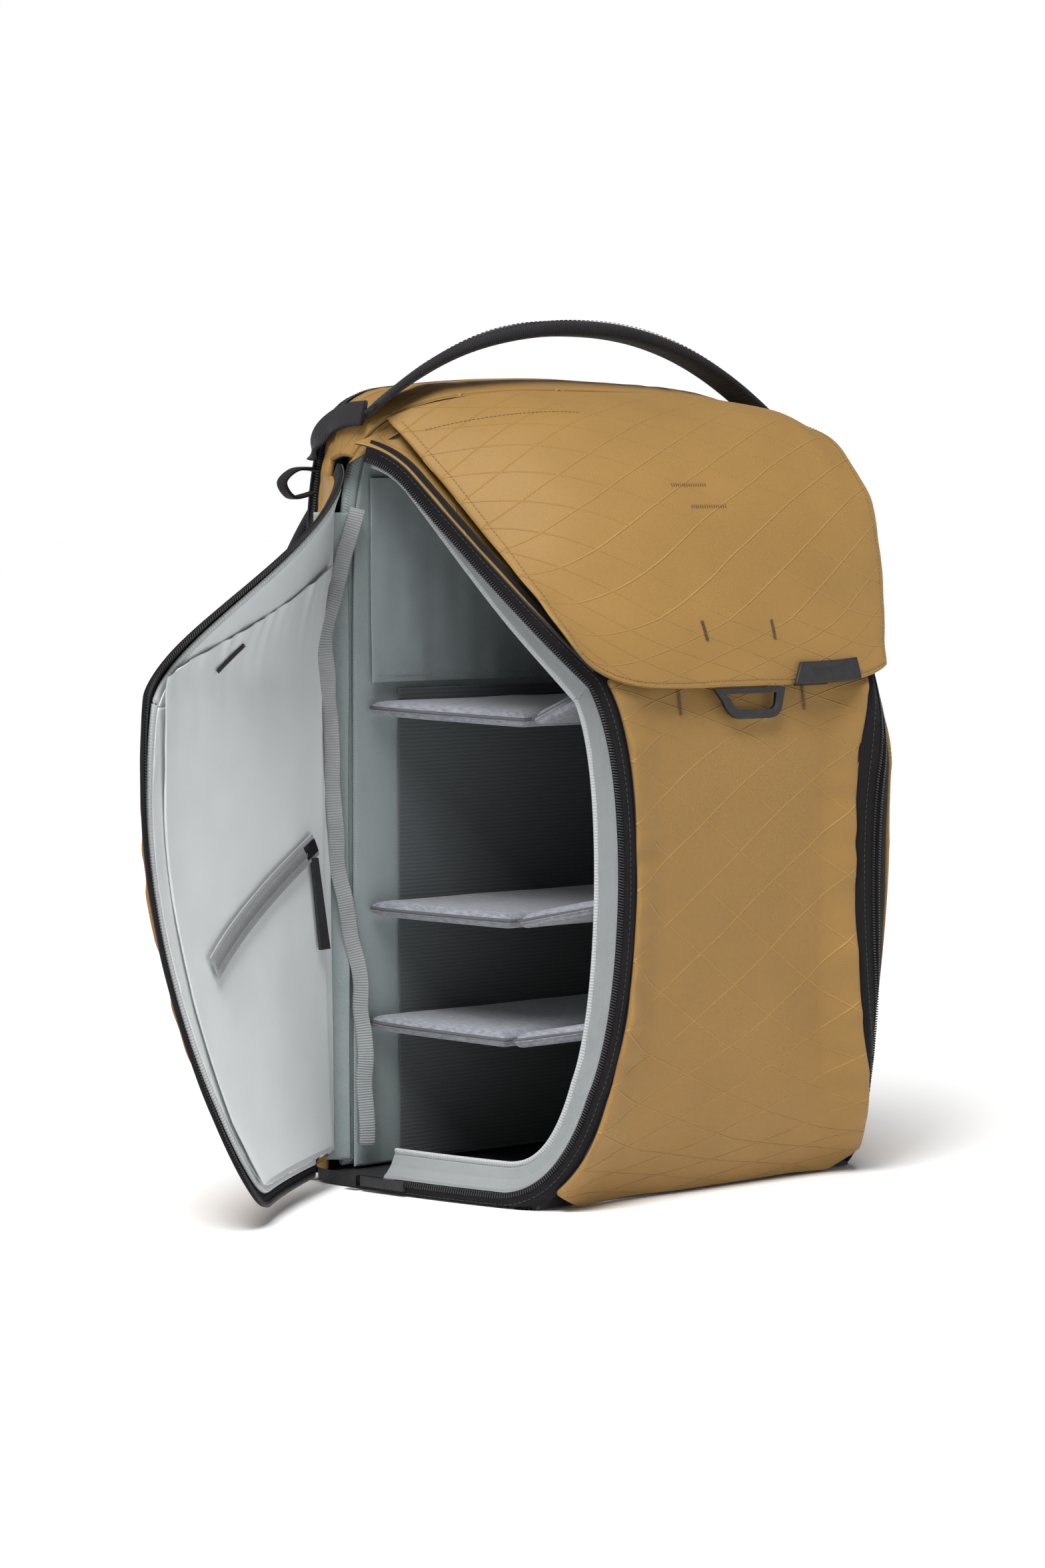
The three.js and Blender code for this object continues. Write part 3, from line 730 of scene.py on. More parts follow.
def hang(obj, side, slot, *nodes):
    """Hangs a soft piece on its door. The left door twists, so the piece is cut where it is stiff,
    and each half bends towards its own end."""
    if side == RIGHT:
        ride(obj, "right_door", slot, *nodes)
        return
    for tag, lag, above in (("lower", FOOT_LAG, False), ("upper", TOP_LAG, True)):
        half = half_of(obj, tag, above)
        if half:
            low, high = ((0, 0, z * MM) for z in lag)
            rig.slot(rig.blend(half, "bag_body", "left_door", low, high), slot)
            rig.replaces(half, *nodes)
    bpy.data.objects.remove(obj)


def half_of(obj, tag, above):
    """The part of a piece above or below the stiff height, with the whole piece's shading."""
    half = bpy.data.objects.new(f"{obj.name}_{tag}", obj.data.copy())
    work = bmesh.new()
    work.from_mesh(half.data)
    bmesh.ops.bisect_plane(
        work, geom=[*work.verts, *work.edges, *work.faces], plane_co=(0, 0, STIFF_Z * MM),
        plane_no=(0, 0, 1), clear_inner=above, clear_outer=not above,
    )
    empty = not work.faces
    work.to_mesh(half.data)
    work.free()
    if empty:
        bpy.data.objects.remove(half)
        return None
    tree = KDTree(len(obj.data.vertices))
    for vertex in obj.data.vertices:
        tree.insert(vertex.co, vertex.index)
    tree.balance()
    normals = [v.normal.copy() for v in obj.data.vertices]
    nearest = [tree.find(v.co)[1] for v in half.data.vertices]
    half.data.normals_split_custom_set_from_vertices([normals[i] for i in nearest])
    bpy.context.scene.collection.objects.link(half)
    return half


# ---- materials ---------------------------------------------------------------------------------


class Material:
    """A material whose nodes are built one call at a time."""

    def __init__(self, name, roughness, metallic=0.0, sheen=0.0, specular=0.5):
        self.made = bpy.data.materials.new(name)
        self.made.use_nodes = True
        self.tree = self.made.node_tree
        self.shader = self.tree.nodes["Principled BSDF"]
        self.shader.inputs["Roughness"].default_value = roughness
        self.shader.inputs["Metallic"].default_value = metallic
        self.shader.inputs["Sheen Weight"].default_value = sheen
        self.shader.inputs["Sheen Roughness"].default_value = 0.4
        self.shader.inputs["Specular IOR Level"].default_value = specular

    def node(self, kind, **values):
        node = self.tree.nodes.new(kind)
        for key, value in values.items():
            setattr(node, key, value)
        return node

    def link(self, value, socket):
        if hasattr(value, "links"):
            self.tree.links.new(value, socket)
        else:
            socket.default_value = value

    def math(self, operation, *values):
        node = self.node("ShaderNodeMath", operation=operation)
        for value, socket in zip(values, node.inputs):
            self.link(value, socket)
        return node.outputs[0]

    def scaled(self, value, factor, plus=None):
        """value * factor, plus another value where one is given."""
        if plus is None:
            return self.math("MULTIPLY", value, factor)
        return self.math("MULTIPLY_ADD", value, factor, plus)

    def fit(self, value, low, high, to_low=0.0, to_high=1.0):
        node = self.node("ShaderNodeMapRange")
        for key, v in zip(("Value", "From Min", "From Max", "To Min", "To Max"),
                          (value, low, high, to_low, to_high)):
            self.link(v, node.inputs[key])
        return node.outputs[0]

    def flat(self):
        """The piece's own u and v, in millimetres."""
        uv = self.node("ShaderNodeUVMap", uv_map="metres")
        parts = self.node("ShaderNodeSeparateXYZ")
        self.tree.links.new(uv.outputs[0], parts.inputs[0])
        return [self.scaled(parts.outputs[i], 1000.0) for i in (0, 1)]

    def solid(self):
        """x, y and z in the piece's frame, in millimetres."""
        place = self.node("ShaderNodeTexCoord")
        parts = self.node("ShaderNodeSeparateXYZ")
        self.tree.links.new(place.outputs["Object"], parts.inputs[0])
        return [self.scaled(parts.outputs[i], 1000.0) for i in (0, 1, 2)]

    def cloud(self, size, detail=2.0, stretch=(1, 1, 1)):
        """Noise from 0 to 1 with features about size millimetres across."""
        place = self.node("ShaderNodeTexCoord")
        scale = self.node("ShaderNodeMapping")
        scale.inputs["Scale"].default_value = [1000.0 / size * s for s in stretch]
        texture = self.node("ShaderNodeTexNoise")
        texture.inputs["Scale"].default_value = 1.0
        texture.inputs["Detail"].default_value = detail
        self.tree.links.new(place.outputs["Object"], scale.inputs[0])
        self.tree.links.new(scale.outputs[0], texture.inputs["Vector"])
        return texture.outputs[0]

    def wave(self, value, pitch):
        """0 to 1 and back once each pitch."""
        turned = self.math("SINE", self.scaled(value, 2 * math.pi / pitch))
        return self.scaled(turned, 0.5, 0.5)

    def threads(self, u, v, pitch):
        """A plain weave's height, 0 to 1."""
        across, along = (self.math("SINE", self.scaled(x, 2 * math.pi / pitch)) for x in (u, v))
        return self.scaled(self.scaled(across, along), 0.5, 0.5)

    def colour(self, low, high, share):
        node = self.node("ShaderNodeMix", data_type="RGBA")
        self.link(share, node.inputs[0])
        node.inputs["A"].default_value = (*low, 1)
        node.inputs["B"].default_value = (*high, 1)
        return node.outputs["Result"]

    def finish(self, colour, height, distance, strength=1.0, roughness=None):
        """Links a colour, a bump of height * distance millimetres, and a roughness."""
        self.tree.links.new(colour, self.shader.inputs["Base Color"])
        bump = self.node("ShaderNodeBump")
        bump.inputs["Strength"].default_value = strength
        bump.inputs["Distance"].default_value = distance * MM
        self.tree.links.new(height, bump.inputs["Height"])
        self.tree.links.new(bump.outputs[0], self.shader.inputs["Normal"])
        if roughness is not None:
            self.tree.links.new(roughness, self.shader.inputs["Roughness"])
        return self.made


def shade(colour, amount):
    """A colour made lighter or darker."""
    return tuple(min(1.0, c * amount) for c in colour)


TAN = (0.300, 0.172, 0.052)
BLACK = (0.009, 0.008, 0.009)
CHARCOAL = (0.017, 0.016, 0.018)
LINING = (0.60, 0.625, 0.635)
WALL = (0.27, 0.31, 0.315)
FELT = (0.24, 0.25, 0.28)
BINDING = (0.27, 0.28, 0.285)
LOOP = (0.085, 0.093, 0.097)


def ripstop():
    """Coated nylon with a raised diamond grid of thicker threads."""
    m = Material("tan_ripstop", 0.5, sheen=0.03, specular=0.2)
    u, v = m.flat()
    drift = m.fit(m.cloud(90), 0, 1, -0.09, 0.09)
    lines = []
    for slope in (0.44, -0.44):
        place = m.math("ADD", m.math("DIVIDE", m.scaled(u, slope, v), 23.5), drift)
        ridge = m.math("PINGPONG", place, 0.5)
        lines.append(m.fit(ridge, 0.0, 0.026, 1.0, 0.0))
    grid = m.math("MAXIMUM", *lines)
    weave = m.threads(u, v, 1.1)
    height = m.scaled(weave, 0.22, m.scaled(grid, 1.0))
    height = m.scaled(m.cloud(14), 0.5, height)
    # the grid's threads are painted lighter than the cloth: a painted highlight along the raised threads
    tone = m.scaled(grid, 0.62, m.scaled(m.cloud(60), 0.45))
    tone = m.scaled(weave, 0.12, tone)
    colour = m.colour(shade(TAN, 0.80), shade(TAN, 1.30), tone)
    rough = m.fit(m.scaled(grid, 0.4, m.cloud(25)), 0, 1.4, 0.56, 0.38)
    return m.finish(colour, height, 0.5, 0.9, rough)


def woven(name, colour, pitch, roughness, sheen=0.1, contrast=0.3, twill=0.0, bump=0.2):
    """Plain weave, or twill where the threads step sideways."""
    m = Material(name, roughness, sheen=sheen, specular=0.12)
    u, v = m.flat()
    if twill:
        height = m.wave(m.scaled(v, twill, u), pitch)
        height = m.scaled(m.threads(u, v, pitch * 0.7), 0.35, height)
    else:
        height = m.threads(u, v, pitch)
    tone = m.scaled(height, 0.6, m.scaled(m.cloud(18), 0.4))
    colour = m.colour(shade(colour, 1 - contrast), shade(colour, 1 + contrast), tone)
    rough = m.fit(m.cloud(9), 0, 1, roughness - 0.08, roughness + 0.08)
    return m.finish(colour, height, bump, 0.8, rough)


def ribbed(name, colour, pitch, roughness, bump=0.3, contrast=0.25, sheen=0.1):
    """Grosgrain: ribs across the ribbon."""
    m = Material(name, roughness, sheen=sheen, specular=0.14)
    u, v = m.flat()
    rib = m.wave(v, pitch)
    fine = m.wave(u, pitch * 0.5)
    height = m.scaled(fine, 0.25, rib)
    tone = m.scaled(rib, 0.55, m.scaled(m.cloud(12), 0.45))
    colour = m.colour(shade(colour, 1 - contrast), shade(colour, 1 + contrast), tone)
    return m.finish(colour, height, bump, 0.8)


def satin():
    """The lining: smooth, tightly woven, with a soft shine."""
    m = Material("satin_lining", 0.42, sheen=0.25, specular=0.45)
    u, v = m.flat()
    fine = m.wave(m.scaled(v, 0.6, u), 0.9)
    height = m.scaled(m.cloud(16), 1.4, m.scaled(fine, 0.25))
    tone = m.scaled(fine, 0.3, m.scaled(m.cloud(40), 0.7))
    colour = m.colour(shade(LINING, 0.9), shade(LINING, 1.1), tone)
    return m.finish(colour, height, 0.25, 0.6, m.fit(m.cloud(20), 0, 1, 0.36, 0.5))


def felt():
    """Brushed fibre in two greys."""
    m = Material("grey_felt", 0.92, sheen=0.5, specular=0.15)
    fibre = m.cloud(1.6, 4.0, (1, 0.35, 1))
    patch = m.cloud(5, 3.0)
    tone = m.scaled(fibre, 0.75, m.scaled(patch, 0.3))
    colour = m.colour(shade(FELT, 0.6), shade(FELT, 1.35), m.fit(tone, 0.3, 0.8))
    return m.finish(colour, fibre, 0.35, 0.8)


def loop_pile():
    """The loop side of a hook fastener, brushed in rows."""
    m = Material("loop_pile", 0.97, sheen=0.4, specular=0.1)
    z = m.solid()[2]
    rows = m.wave(m.math("ADD", z, m.fit(m.cloud(6), 0, 1, -0.7, 0.7)), 2.3)
    height = m.scaled(m.cloud(0.9, 4.0), 0.8, rows)
    colour = m.colour(shade(LOOP, 0.85), shade(LOOP, 1.2), m.scaled(height, 0.6))
    return m.finish(colour, height, 0.2, 0.5)


def painted_metal():
    """Black paint, a little worn."""
    m = Material("black_metal", 0.38, metallic=0.35, specular=0.5)
    grain = m.cloud(0.7, 3.0)
    worn = m.fit(m.cloud(7, 4.0), 0.55, 0.8)
    colour = m.colour((0.014, 0.013, 0.014), (0.045, 0.043, 0.044), worn)
    return m.finish(colour, grain, 0.05, 0.5, m.fit(m.cloud(3, 3.0), 0, 1, 0.3, 0.48))


def rubber():
    """Fine-grained black rubber."""
    m = Material("black_rubber", 0.6, specular=0.35)
    grain = m.cloud(0.5, 3.0)
    colour = m.colour((0.011, 0.011, 0.012), (0.03, 0.03, 0.031), m.cloud(4, 3.0))
    return m.finish(colour, grain, 0.06, 0.6, m.fit(m.cloud(5), 0, 1, 0.5, 0.7))


def plastic(name, colour):
    """Moulded plastic, as of a zip's coil."""
    m = Material(name, 0.35, specular=0.5)
    made = m.colour(shade(colour, 0.8), shade(colour, 1.3), m.cloud(2.5, 3.0))
    return m.finish(made, m.cloud(0.8, 2.0), 0.03, 0.5, m.fit(m.cloud(4), 0, 1, 0.29, 0.45))


def thread(name, colour):
    """Twisted sewing thread."""
    m = Material(name, 0.6, sheen=0.3, specular=0.3)
    x, y, z = m.solid()
    twist = m.wave(m.math("ADD", m.math("ADD", x, y), z), 0.5)
    made = m.colour(shade(colour, 0.75), shade(colour, 1.25), twist)
    return m.finish(made, twist, 0.08, 0.6)


tan = ripstop()
# the inner side of the tan panels is painted near black: a painted shade for the dim inside of the bag, whose real
# lining is grey
painted_shade_inside = woven("dark_lining", (0.035, 0.036, 0.038), 0.9, 0.7)
tape = ribbed("zip_tape", BLACK, 0.9, 0.72, bump=0.15, contrast=0.5, sheen=0.03)
twill_black = woven("charcoal_twill", CHARCOAL, 1.6, 0.8, twill=1.0, contrast=0.6, bump=0.3, sheen=0.08)
mesh_black = woven("charcoal_mesh", CHARCOAL, 2.6, 0.85, contrast=0.6, bump=0.6)
webbing = ribbed("webbing", BLACK, 1.4, 0.7, bump=0.3, contrast=0.5)
lining = satin()
wall_twill = woven("grey_twill", WALL, 1.1, 0.6, twill=0.8, contrast=0.2, bump=0.2)
light_rib = ribbed("light_grosgrain", (0.44, 0.455, 0.46), 1.7, 0.5, bump=0.25, contrast=0.12, sheen=0.2)
# the padded strip's cloth is the grey lining painted far darker than the door lining: a painted shade for the shaded
# opening
facing_cloth = woven("facing_cloth", (0.26, 0.275, 0.28), 0.9, 0.5, sheen=0.25, contrast=0.1)
grey_rib = ribbed("grey_grosgrain", BINDING, 1.5, 0.7, bump=0.3)
grey_tape = ribbed("grey_zip_tape", (0.30, 0.31, 0.32), 0.9, 0.7, bump=0.2)
divider_felt = felt()
divider_seam = woven("divider_edge", (0.11, 0.11, 0.12), 0.9, 0.8)
loop = loop_pile()
metal = painted_metal()
rubber_black = rubber()
coil = plastic("zip_coil", (0.022, 0.021, 0.023))
coil_grey = plastic("grey_zip_coil", (0.16, 0.165, 0.17))
thread_tan = thread("tan_thread", shade(TAN, 0.8))
thread_brown = thread("brown_thread", (0.11, 0.055, 0.022))
thread_grey = thread("grey_thread", (0.22, 0.225, 0.23))
thread_black = thread("black_thread", (0.02, 0.02, 0.021))
thread_dark = thread("slate_thread", (0.05, 0.052, 0.055))


# ---- camera, light and floor -------------------------------------------------------------------


CAMERA_PLACE = (-1.4946, -1.7491, 0.394)
CAMERA_DOWN, CAMERA_TURN = 4.1, -39  # degrees
FLOOR_HALF = 30  # metres
OVERHEAD_AIM = (0.30, 0.22, -1.0)
# name, place, aim, width and height, watts
SOFTBOXES = (
    ("key", (-1.5, -0.8, 2.2), (0, 0, 0.3), (0.9, 0.9), 34),
    ("side", (1.4, -1.9, 0.9), (0, 0, 0.25), (0.4, 1.2), 3),
)


def aimed(direction):
    """The rotation of a lamp that shines in a direction."""
    return Vector(direction).to_track_quat("-Z", "Y").to_euler()


def add_camera():
    data = bpy.data.cameras.new("camera")
    data.sensor_width = 36
    data.lens = 90.35
    camera = add_to_scene("camera", data)
    camera.location = CAMERA_PLACE
    camera.rotation_euler = (math.radians(90 - CAMERA_DOWN), 0, math.radians(CAMERA_TURN))
    bpy.context.scene.camera = camera


def add_area(name, location, target, size, power):
    light = bpy.data.lights.new(name, "AREA")
    light.shape, light.size, light.size_y = "RECTANGLE", size[0], size[1]
    light.energy = power
    lamp = add_to_scene(name, light)
    lamp.location = location
    lamp.rotation_euler = aimed(Vector(target) - Vector(location))


def add_stage():
    """A pale floor under a broad overhead light, with one large and one small softbox."""
    corners = [(x, y, -1) for x, y in ((-1, -1), (1, -1), (1, 1), (-1, 1))]
    corners = [(x * FLOOR_HALF / MM, y * FLOOR_HALF / MM, z) for x, y, z in corners]
    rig.stage(build("floor", corners, [(0, 1, 2, 3)], floor_material()))
    bpy.context.scene.world = studio()
    bpy.context.scene.view_settings.view_transform = "Standard"
    sun = bpy.data.lights.new("overhead", "SUN")
    sun.energy, sun.angle = 3.0, math.radians(35)
    add_to_scene("overhead", sun).rotation_euler = aimed(OVERHEAD_AIM)
    for softbox in SOFTBOXES:
        add_area(*softbox)


def studio():
    """A backdrop that is white up to a little above the horizon, and a dim room overhead."""
    world = bpy.data.worlds.new("studio")
    world.use_nodes = True
    nodes, links = world.node_tree.nodes, world.node_tree.links
    place = nodes.new("ShaderNodeTexCoord")
    parts = nodes.new("ShaderNodeSeparateXYZ")
    fade = nodes.new("ShaderNodeMapRange")
    for key, value in (("From Min", 0.15), ("From Max", 0.26), ("To Min", 1.0), ("To Max", 0.12)):
        fade.inputs[key].default_value = value
    links.new(place.outputs["Generated"], parts.inputs[0])
    links.new(parts.outputs["Z"], fade.inputs["Value"])
    links.new(fade.outputs[0], nodes["Background"].inputs["Strength"])
    nodes["Background"].inputs["Color"].default_value = (1, 1, 1, 1)
    return world


def floor_material():
    """Near-white, matt and very slightly uneven."""
    m = Material("pale_floor", 0.9, specular=0.1)
    return m.finish(m.colour((0.97, 0.97, 0.97), (0.98, 0.98, 0.98), m.cloud(400)), m.cloud(30), 0.01)


# ---- the body ----------------------------------------------------------------------------------


def front_relief(p, u, v):
    """Puckers that run in from the zips, and soft hollows over the face."""
    h = abs(2 * u - 1)
    near = smooth(h, 0.62, 0.98) * (1 - smooth(h, 0.985, 1.0))
    pucker = noise(p, (60, 60, 9), 3) * 2.3 * near
    crease = noise(p, (70, 70, 24), 5) * 2.0 * smooth(h, 0.35, 0.95)
    low = noise(p, (30, 60, 22), 8) * (1 - smooth(p[..., 2], 20, 110))
    return 0.9 * noise(p, 110, 4) + pucker + crease * 0.8 + low


FRONT_TACK = (47, 283)  # how far from the middle, and how high
FRONT_TACK_HEIGHT = 15


def add_front():
    """The front panel, and the bar tacks beside the latch."""
    piece = cloth("front_panel_fabric", front_surface, 150, 150, SKIN, tan, front_relief,
                  radius=2.5, inner=painted_shade_inside)
    ride(piece, "bag_body", "tan", "front_panel")
    for side, name in SIDES:

        def spot(s, t, side=side):
            return on_front(side * FRONT_TACK[0] + t, FRONT_TACK[1] + s)

        ride(tack(f"front_tack_{name}", spot, FRONT_TACK_HEIGHT, thread_brown), "bag_body", "tan")


def on_front(x, z):
    """The point of the front face at x and z, near the middle."""
    v = np.linspace(0, 1, 300)
    at = front_profile.at(v)
    y = np.interp(z, at[:, 1], at[:, 0])
    return xyz(x, y - 0.6, z)


def gathers(u, amount):
    """Tight puckers where the band goes round the two top corners."""
    return amount * peak(abs(2 * u - 1), 0.36, 0.13)


def top_relief(p, u, v):
    tight = gathers(u, 1.0) * noise(p, (8, 40, 8), 12) * np.sin(np.pi * v) ** 0.5
    return 0.5 * noise(p, 40, 11) + tight


def band_relief(p, u, v):
    crown = (0.5 + 0.4 * noise(p, 50, 13)) * np.sin(np.pi * v)
    return crown + gathers(u, 0.9) * noise(p, (5, 60, 5), 14)


def add_rear():
    """The top panel, the band round the rear and the laptop zip behind it."""
    top = cloth("top_fabric", top_surface, 150, 16, SKIN, tan, top_relief, radius=2, inner=painted_shade_inside)
    ride(top, "bag_body", "tan", "top_panel")
    band = cloth("rear_band_fabric", rear_surface(0, 79.5, 88), 520, 8, 4.5, tan, band_relief, radius=2.4)
    ride(band, "bag_body", "tan", "rear_band")
    zip_tape = cloth("laptop_zip_tape", rear_surface(0.6, 87.9, 92.2), 240, 4, 2.4, tape, radius=0.8)
    ride(zip_tape, "bag_body", "black_tape", "laptop_zip")
    line = rear_outline(0.2)
    share = np.linspace(0.03, 0.97, 500)
    spot, along = line.at(share), line.along(share)
    out = unit(xyz(along[:, 1], 0.0, -along[:, 0]))
    path = xyz(spot[:, 0], 90.0, spot[:, 1]) + out * 0.3
    ride(teeth("laptop_zip_teeth", path, out, coil, width=3.0), "bag_body", "black_tape")
    add_back_panel()


def rear_plate(name, inset, low, y0, y1, material, relief=None, columns=20, rows=40):
    """A padded plate that fills the rear silhouette."""
    line = rear_outline(inset, low)
    half = Line(line.points[: len(line.points) // 2])

    def sheet(u, v):
        side = half.at(v)
        return xyz((2 * u - 1) * side[..., 0], float(y1), side[..., 1])

    thick = y1 - y0
    return cloth(name, sheet, columns, rows, thick, material, relief, radius=min(4.0, thick / 2))


def add_back_panel():
    def padding(p, u, v):
        return 1.6 * smooth(from_rim(u, v, 320, 440), 2, 26) + 0.4 * noise(p, 45, 21)

    rear = BACK_Y + BACK_THICK - 1.0
    back = rear_plate("back_panel_fabric", 1, 3, BACK_Y, rear, twill_black, padding, 90, 120)
    ride(back, "bag_body", "charcoal", "back_panel")
    low = BASE_TOP + 1
    board = rear_plate("sleeve_board_fabric", 13, low, 74, 86, wall_twill)
    ride(board, "bag_body", "grey_twill", "sleeve_board")
    inner = rear_plate("inner_wall_fabric", 16, low, WALL_Y, 73, wall_twill, columns=40, rows=60)
    ride(inner, "bag_body", "grey_twill", "inner_wall")


def add_inner_sheets():
    """The panel that the dividers stick to, and the lining that hangs above it."""

    def pile(u, v):
        return xyz(mix(-116, 116, u), 68.2, mix(11.5, 286.5, v))

    def waves(p, u, v):
        return 0.25 * noise(p, 40, 31) + 0.35 * 0.25 * noise(p, 40 * 0.37, 32)

    piece = cloth("loop_pile_panel", pile, 60, 70, 1.4, loop, waves, radius=0.8)
    ride(piece, "bag_body", "loop_fabric", "loop_panel")

    def curtain(u, v):
        return xyz(mix(-136, 136, u), 67.5 - 1.5 * (1 - v), mix(290, 408, v))

    def curtain_folds(p, u, v):
        return 1.4 * noise(p, (26, 60, 90), 32) * (1 - 0.6 * v) + 0.6 * noise(p, (9, 60, 50), 33)

    piece = cloth("upper_lining_curtain", curtain, 140, 60, 1.0, wall_twill, curtain_folds, radius=0.5,
                  away=np.array([0, 200.0, 300]))
    ride(piece, "bag_body", "grey_twill", "upper_lining")
    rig.sheet(piece, flat=(0.272, 0.118), held="hung", rests_on=["inner_wall"])
    seam = xyz(np.linspace(-134, 134, 60), 65.4, 294.0)
    ride(stitches("upper_lining_seam", seam, np.array([0, -1.0, 0]), thread_grey), "bag_body", "grey_twill")


# ---- side openings -----------------------------------------------------------------------------


def carried(place, line, beside):
    """A line, and the directions from it to the points beside it, once place has moved both."""
    return place(line), place(line + beside) - place(line)


# where the zip tape and the padded strip start and end, as shares of the zip line
TAPE_SHARES = (0.02, 0.97)
TEETH_SHARES = (0.025, 0.965)
FACING_SHARES = (0.045, 0.965)


def add_opening(side, name):
    """The fabric, zip tape and padding on the bag's side of a door's zip."""

    def pleats(p, u, v):
        fold = noise(p, (40, 40, 12), 41 + side) * 2.2
        return fold * np.sin(np.pi * v) * np.sin(np.pi * u) ** 0.3

    surface = shoulder_surface(side)
    piece = cloth(f"{name}_shoulder_fabric", surface, 90, 36, 2.0, tan, pleats, radius=1.0, inner=painted_shade_inside)
    ride(piece, "bag_body", "tan", f"{name}_shoulder")

    def band(u, v):
        under = 2.6 * smooth(v, 0.66, 0.86)
        return beside_zip(side, mix(*TAPE_SHARES, u), mix(TAPE_GAP, TAPE_WIDTH + 3.6, v), under)

    def ripple(p, u, v):
        return 0.25 * noise(p, 18, 43) - 0.4 * smooth(v, 0.7, 1)

    piece = cloth(f"{name}_opening_tape", band, 320, 8, 2.3, tape, ripple, radius=0.8)
    ride(piece, "bag_body", "black_tape", f"{name}_opening_zip")
    add_teeth(f"{name}_opening_teeth", side, 1.9, -0.55, -1, fixed)
    t = np.linspace(0.04, 0.955, 300)
    line = beside_zip(side, t, 7.3, -0.1)
    up = unit(beside_zip(side, t, 7.3, -2) - line)
    ride(stitches(f"{name}_opening_stitches", line, up, thread_black, 3.2, 2.3), "bag_body", "black_tape")
    add_facing(side, name)


def fixed(obj, side, slot):
    """Fastens a piece of either side to the body, as hang fastens one to its door."""
    ride(obj, "bag_body", slot)


def add_teeth(name, side, out, depth, direction, fasten, place=None):
    """Teeth beside the zip line; direction is -1 where they face outwards and 1 inwards."""
    t = np.linspace(*TEETH_SHARES, 700)
    line = beside_zip(side, t, out, depth)
    up = unit(beside_zip(side, t, out, depth + direction) - line)
    if place:
        line, up = carried(place, line, up)
    fasten(teeth(name, line, up, coil), side, "black_tape")


# the padded strip's section: shares of its width, and how far out from the zip and how deep it lies
ROLL_SHARE = (0, 0.15, 0.3, 0.65, 1)
ROLL_OUT = (4.5, 2.6, 0.6, -4.6, -11.0)
ROLL_DEPTH = (2.7, 4.6, 6.8, 12.0, 16.0)


def add_facing(side, name):
    """The padded strip inside the opening, from the tape's edge inwards."""

    def at(t, out, depth):
        """The strip narrows towards the top of the opening."""
        full = 1 - 0.8 * smooth(t, 0.74, 0.965)
        return beside_zip(side, t, 3.5 + (out - 3.5) * full, 2.7 + (depth - 2.7) * full)

    def roll(u, v):
        out, depth = (np.interp(v, ROLL_SHARE, values) for values in (ROLL_OUT, ROLL_DEPTH))
        return at(mix(*FACING_SHARES, u), out, depth)

    def swell(p, u, v):
        crown = 1.2 * np.sin(np.pi * v) ** 0.6 - 1.1 * peak(v, 0.3, 0.035)
        return crown + 0.7 * noise(p, 13, 46) + 0.4 * noise(p, 5, 47)

    away = np.array([side * 400.0, -60, 200])
    # the strip's darker cloth is painted shade, not a darker fabric
    piece = cloth(f"{name}_opening_padding", roll, 420, 30, 2.2, facing_cloth, swell, radius=1.0, away=away)
    ride(piece, "bag_body", "grey_lining", f"{name}_opening_facing")
    t = np.linspace(0.06, 0.93, 300)
    line = at(t, 0.9, 6.2)
    up = unit(at(t, -1.0, 3) - line)
    ride(stitches(f"{name}_facing_stitches", line, up, thread_dark, 3.4, 2.4), "bag_body", "grey_lining")

    t = np.linspace(*FACING_SHARES, 420)
    route = at(t, -12.2, 16.4)
    across = unit(at(t, -16, 15.0) - route)
    piece = sweep(f"{name}_opening_piping", route, across, oval(6.0, 2.6, 14, 3), light_rib)
    ride(piece, "bag_body", "grey_lining")


# ---- doors -------------------------------------------------------------------------------------


def add_door(side, name):
    """A door's outer fabric, and all that is sewn to it."""
    place = functools.partial(swing, side=side)
    area = door_area(TAPE_WIDTH - 0.4, 2.0, BASE_RUN * 0.45, 0.985)

    def skin(u, v):
        return side_point(side, *area(u, v))

    def slack(p, u, v):
        ridge = noise(p, (60, 60, 12), 51) * 1.2 * smooth(u, 0.6, 0.97) * (1 - smooth(u, 0.98, 1))
        return np.maximum(noise(p, 75, 52) + ridge + 0.5 * noise(p, 22, 53), -0.2)

    piece = cloth(f"{name}_door_fabric", skin, 90, 200, 3.8, tan, slack, radius=2.0, place=place, uv=area)
    hang(piece, side, "tan", f"{name}_door")
    add_door_tape(side, name, place)
    add_door_lining(side, name, place)
    add_side_pocket(side, name, place)


def add_door_tape(side, name, place):
    """The door's half of its zip, and the binding along its edge inside."""

    def band(u, v):
        under = 2.6 * smooth(v, 0.62, 0.8)
        return beside_zip(side, mix(*TAPE_SHARES, u), mix(-TAPE_GAP, -TAPE_WIDTH - 3, v), 0.5 + under)

    def ripple(p, u, v):
        return 0.25 * noise(p, 18, 54)

    piece = cloth(f"{name}_door_tape", band, 320, 8, 2.3, tape, ripple, radius=0.8, place=place)
    hang(piece, side, "black_tape", f"{name}_door_zip")
    if side == LEFT:
        add_teeth(f"{name}_door_teeth", side, -1.9, 3.3, 1, hang, place)
    else:
        add_teeth(f"{name}_door_teeth", side, -1.5, -0.4, -1, hang, place)
    t = np.linspace(0.03, 0.96, 360)
    route = beside_zip(side, t, -11.2, 4.3)
    route, across = carried(place, route, beside_zip(side, t, -13.2, 4.3) - route)
    piece = sweep(f"{name}_door_binding", route, across, oval(6.6, 3.2, 16, 2.6), light_rib)
    hang(piece, side, "grey_lining")


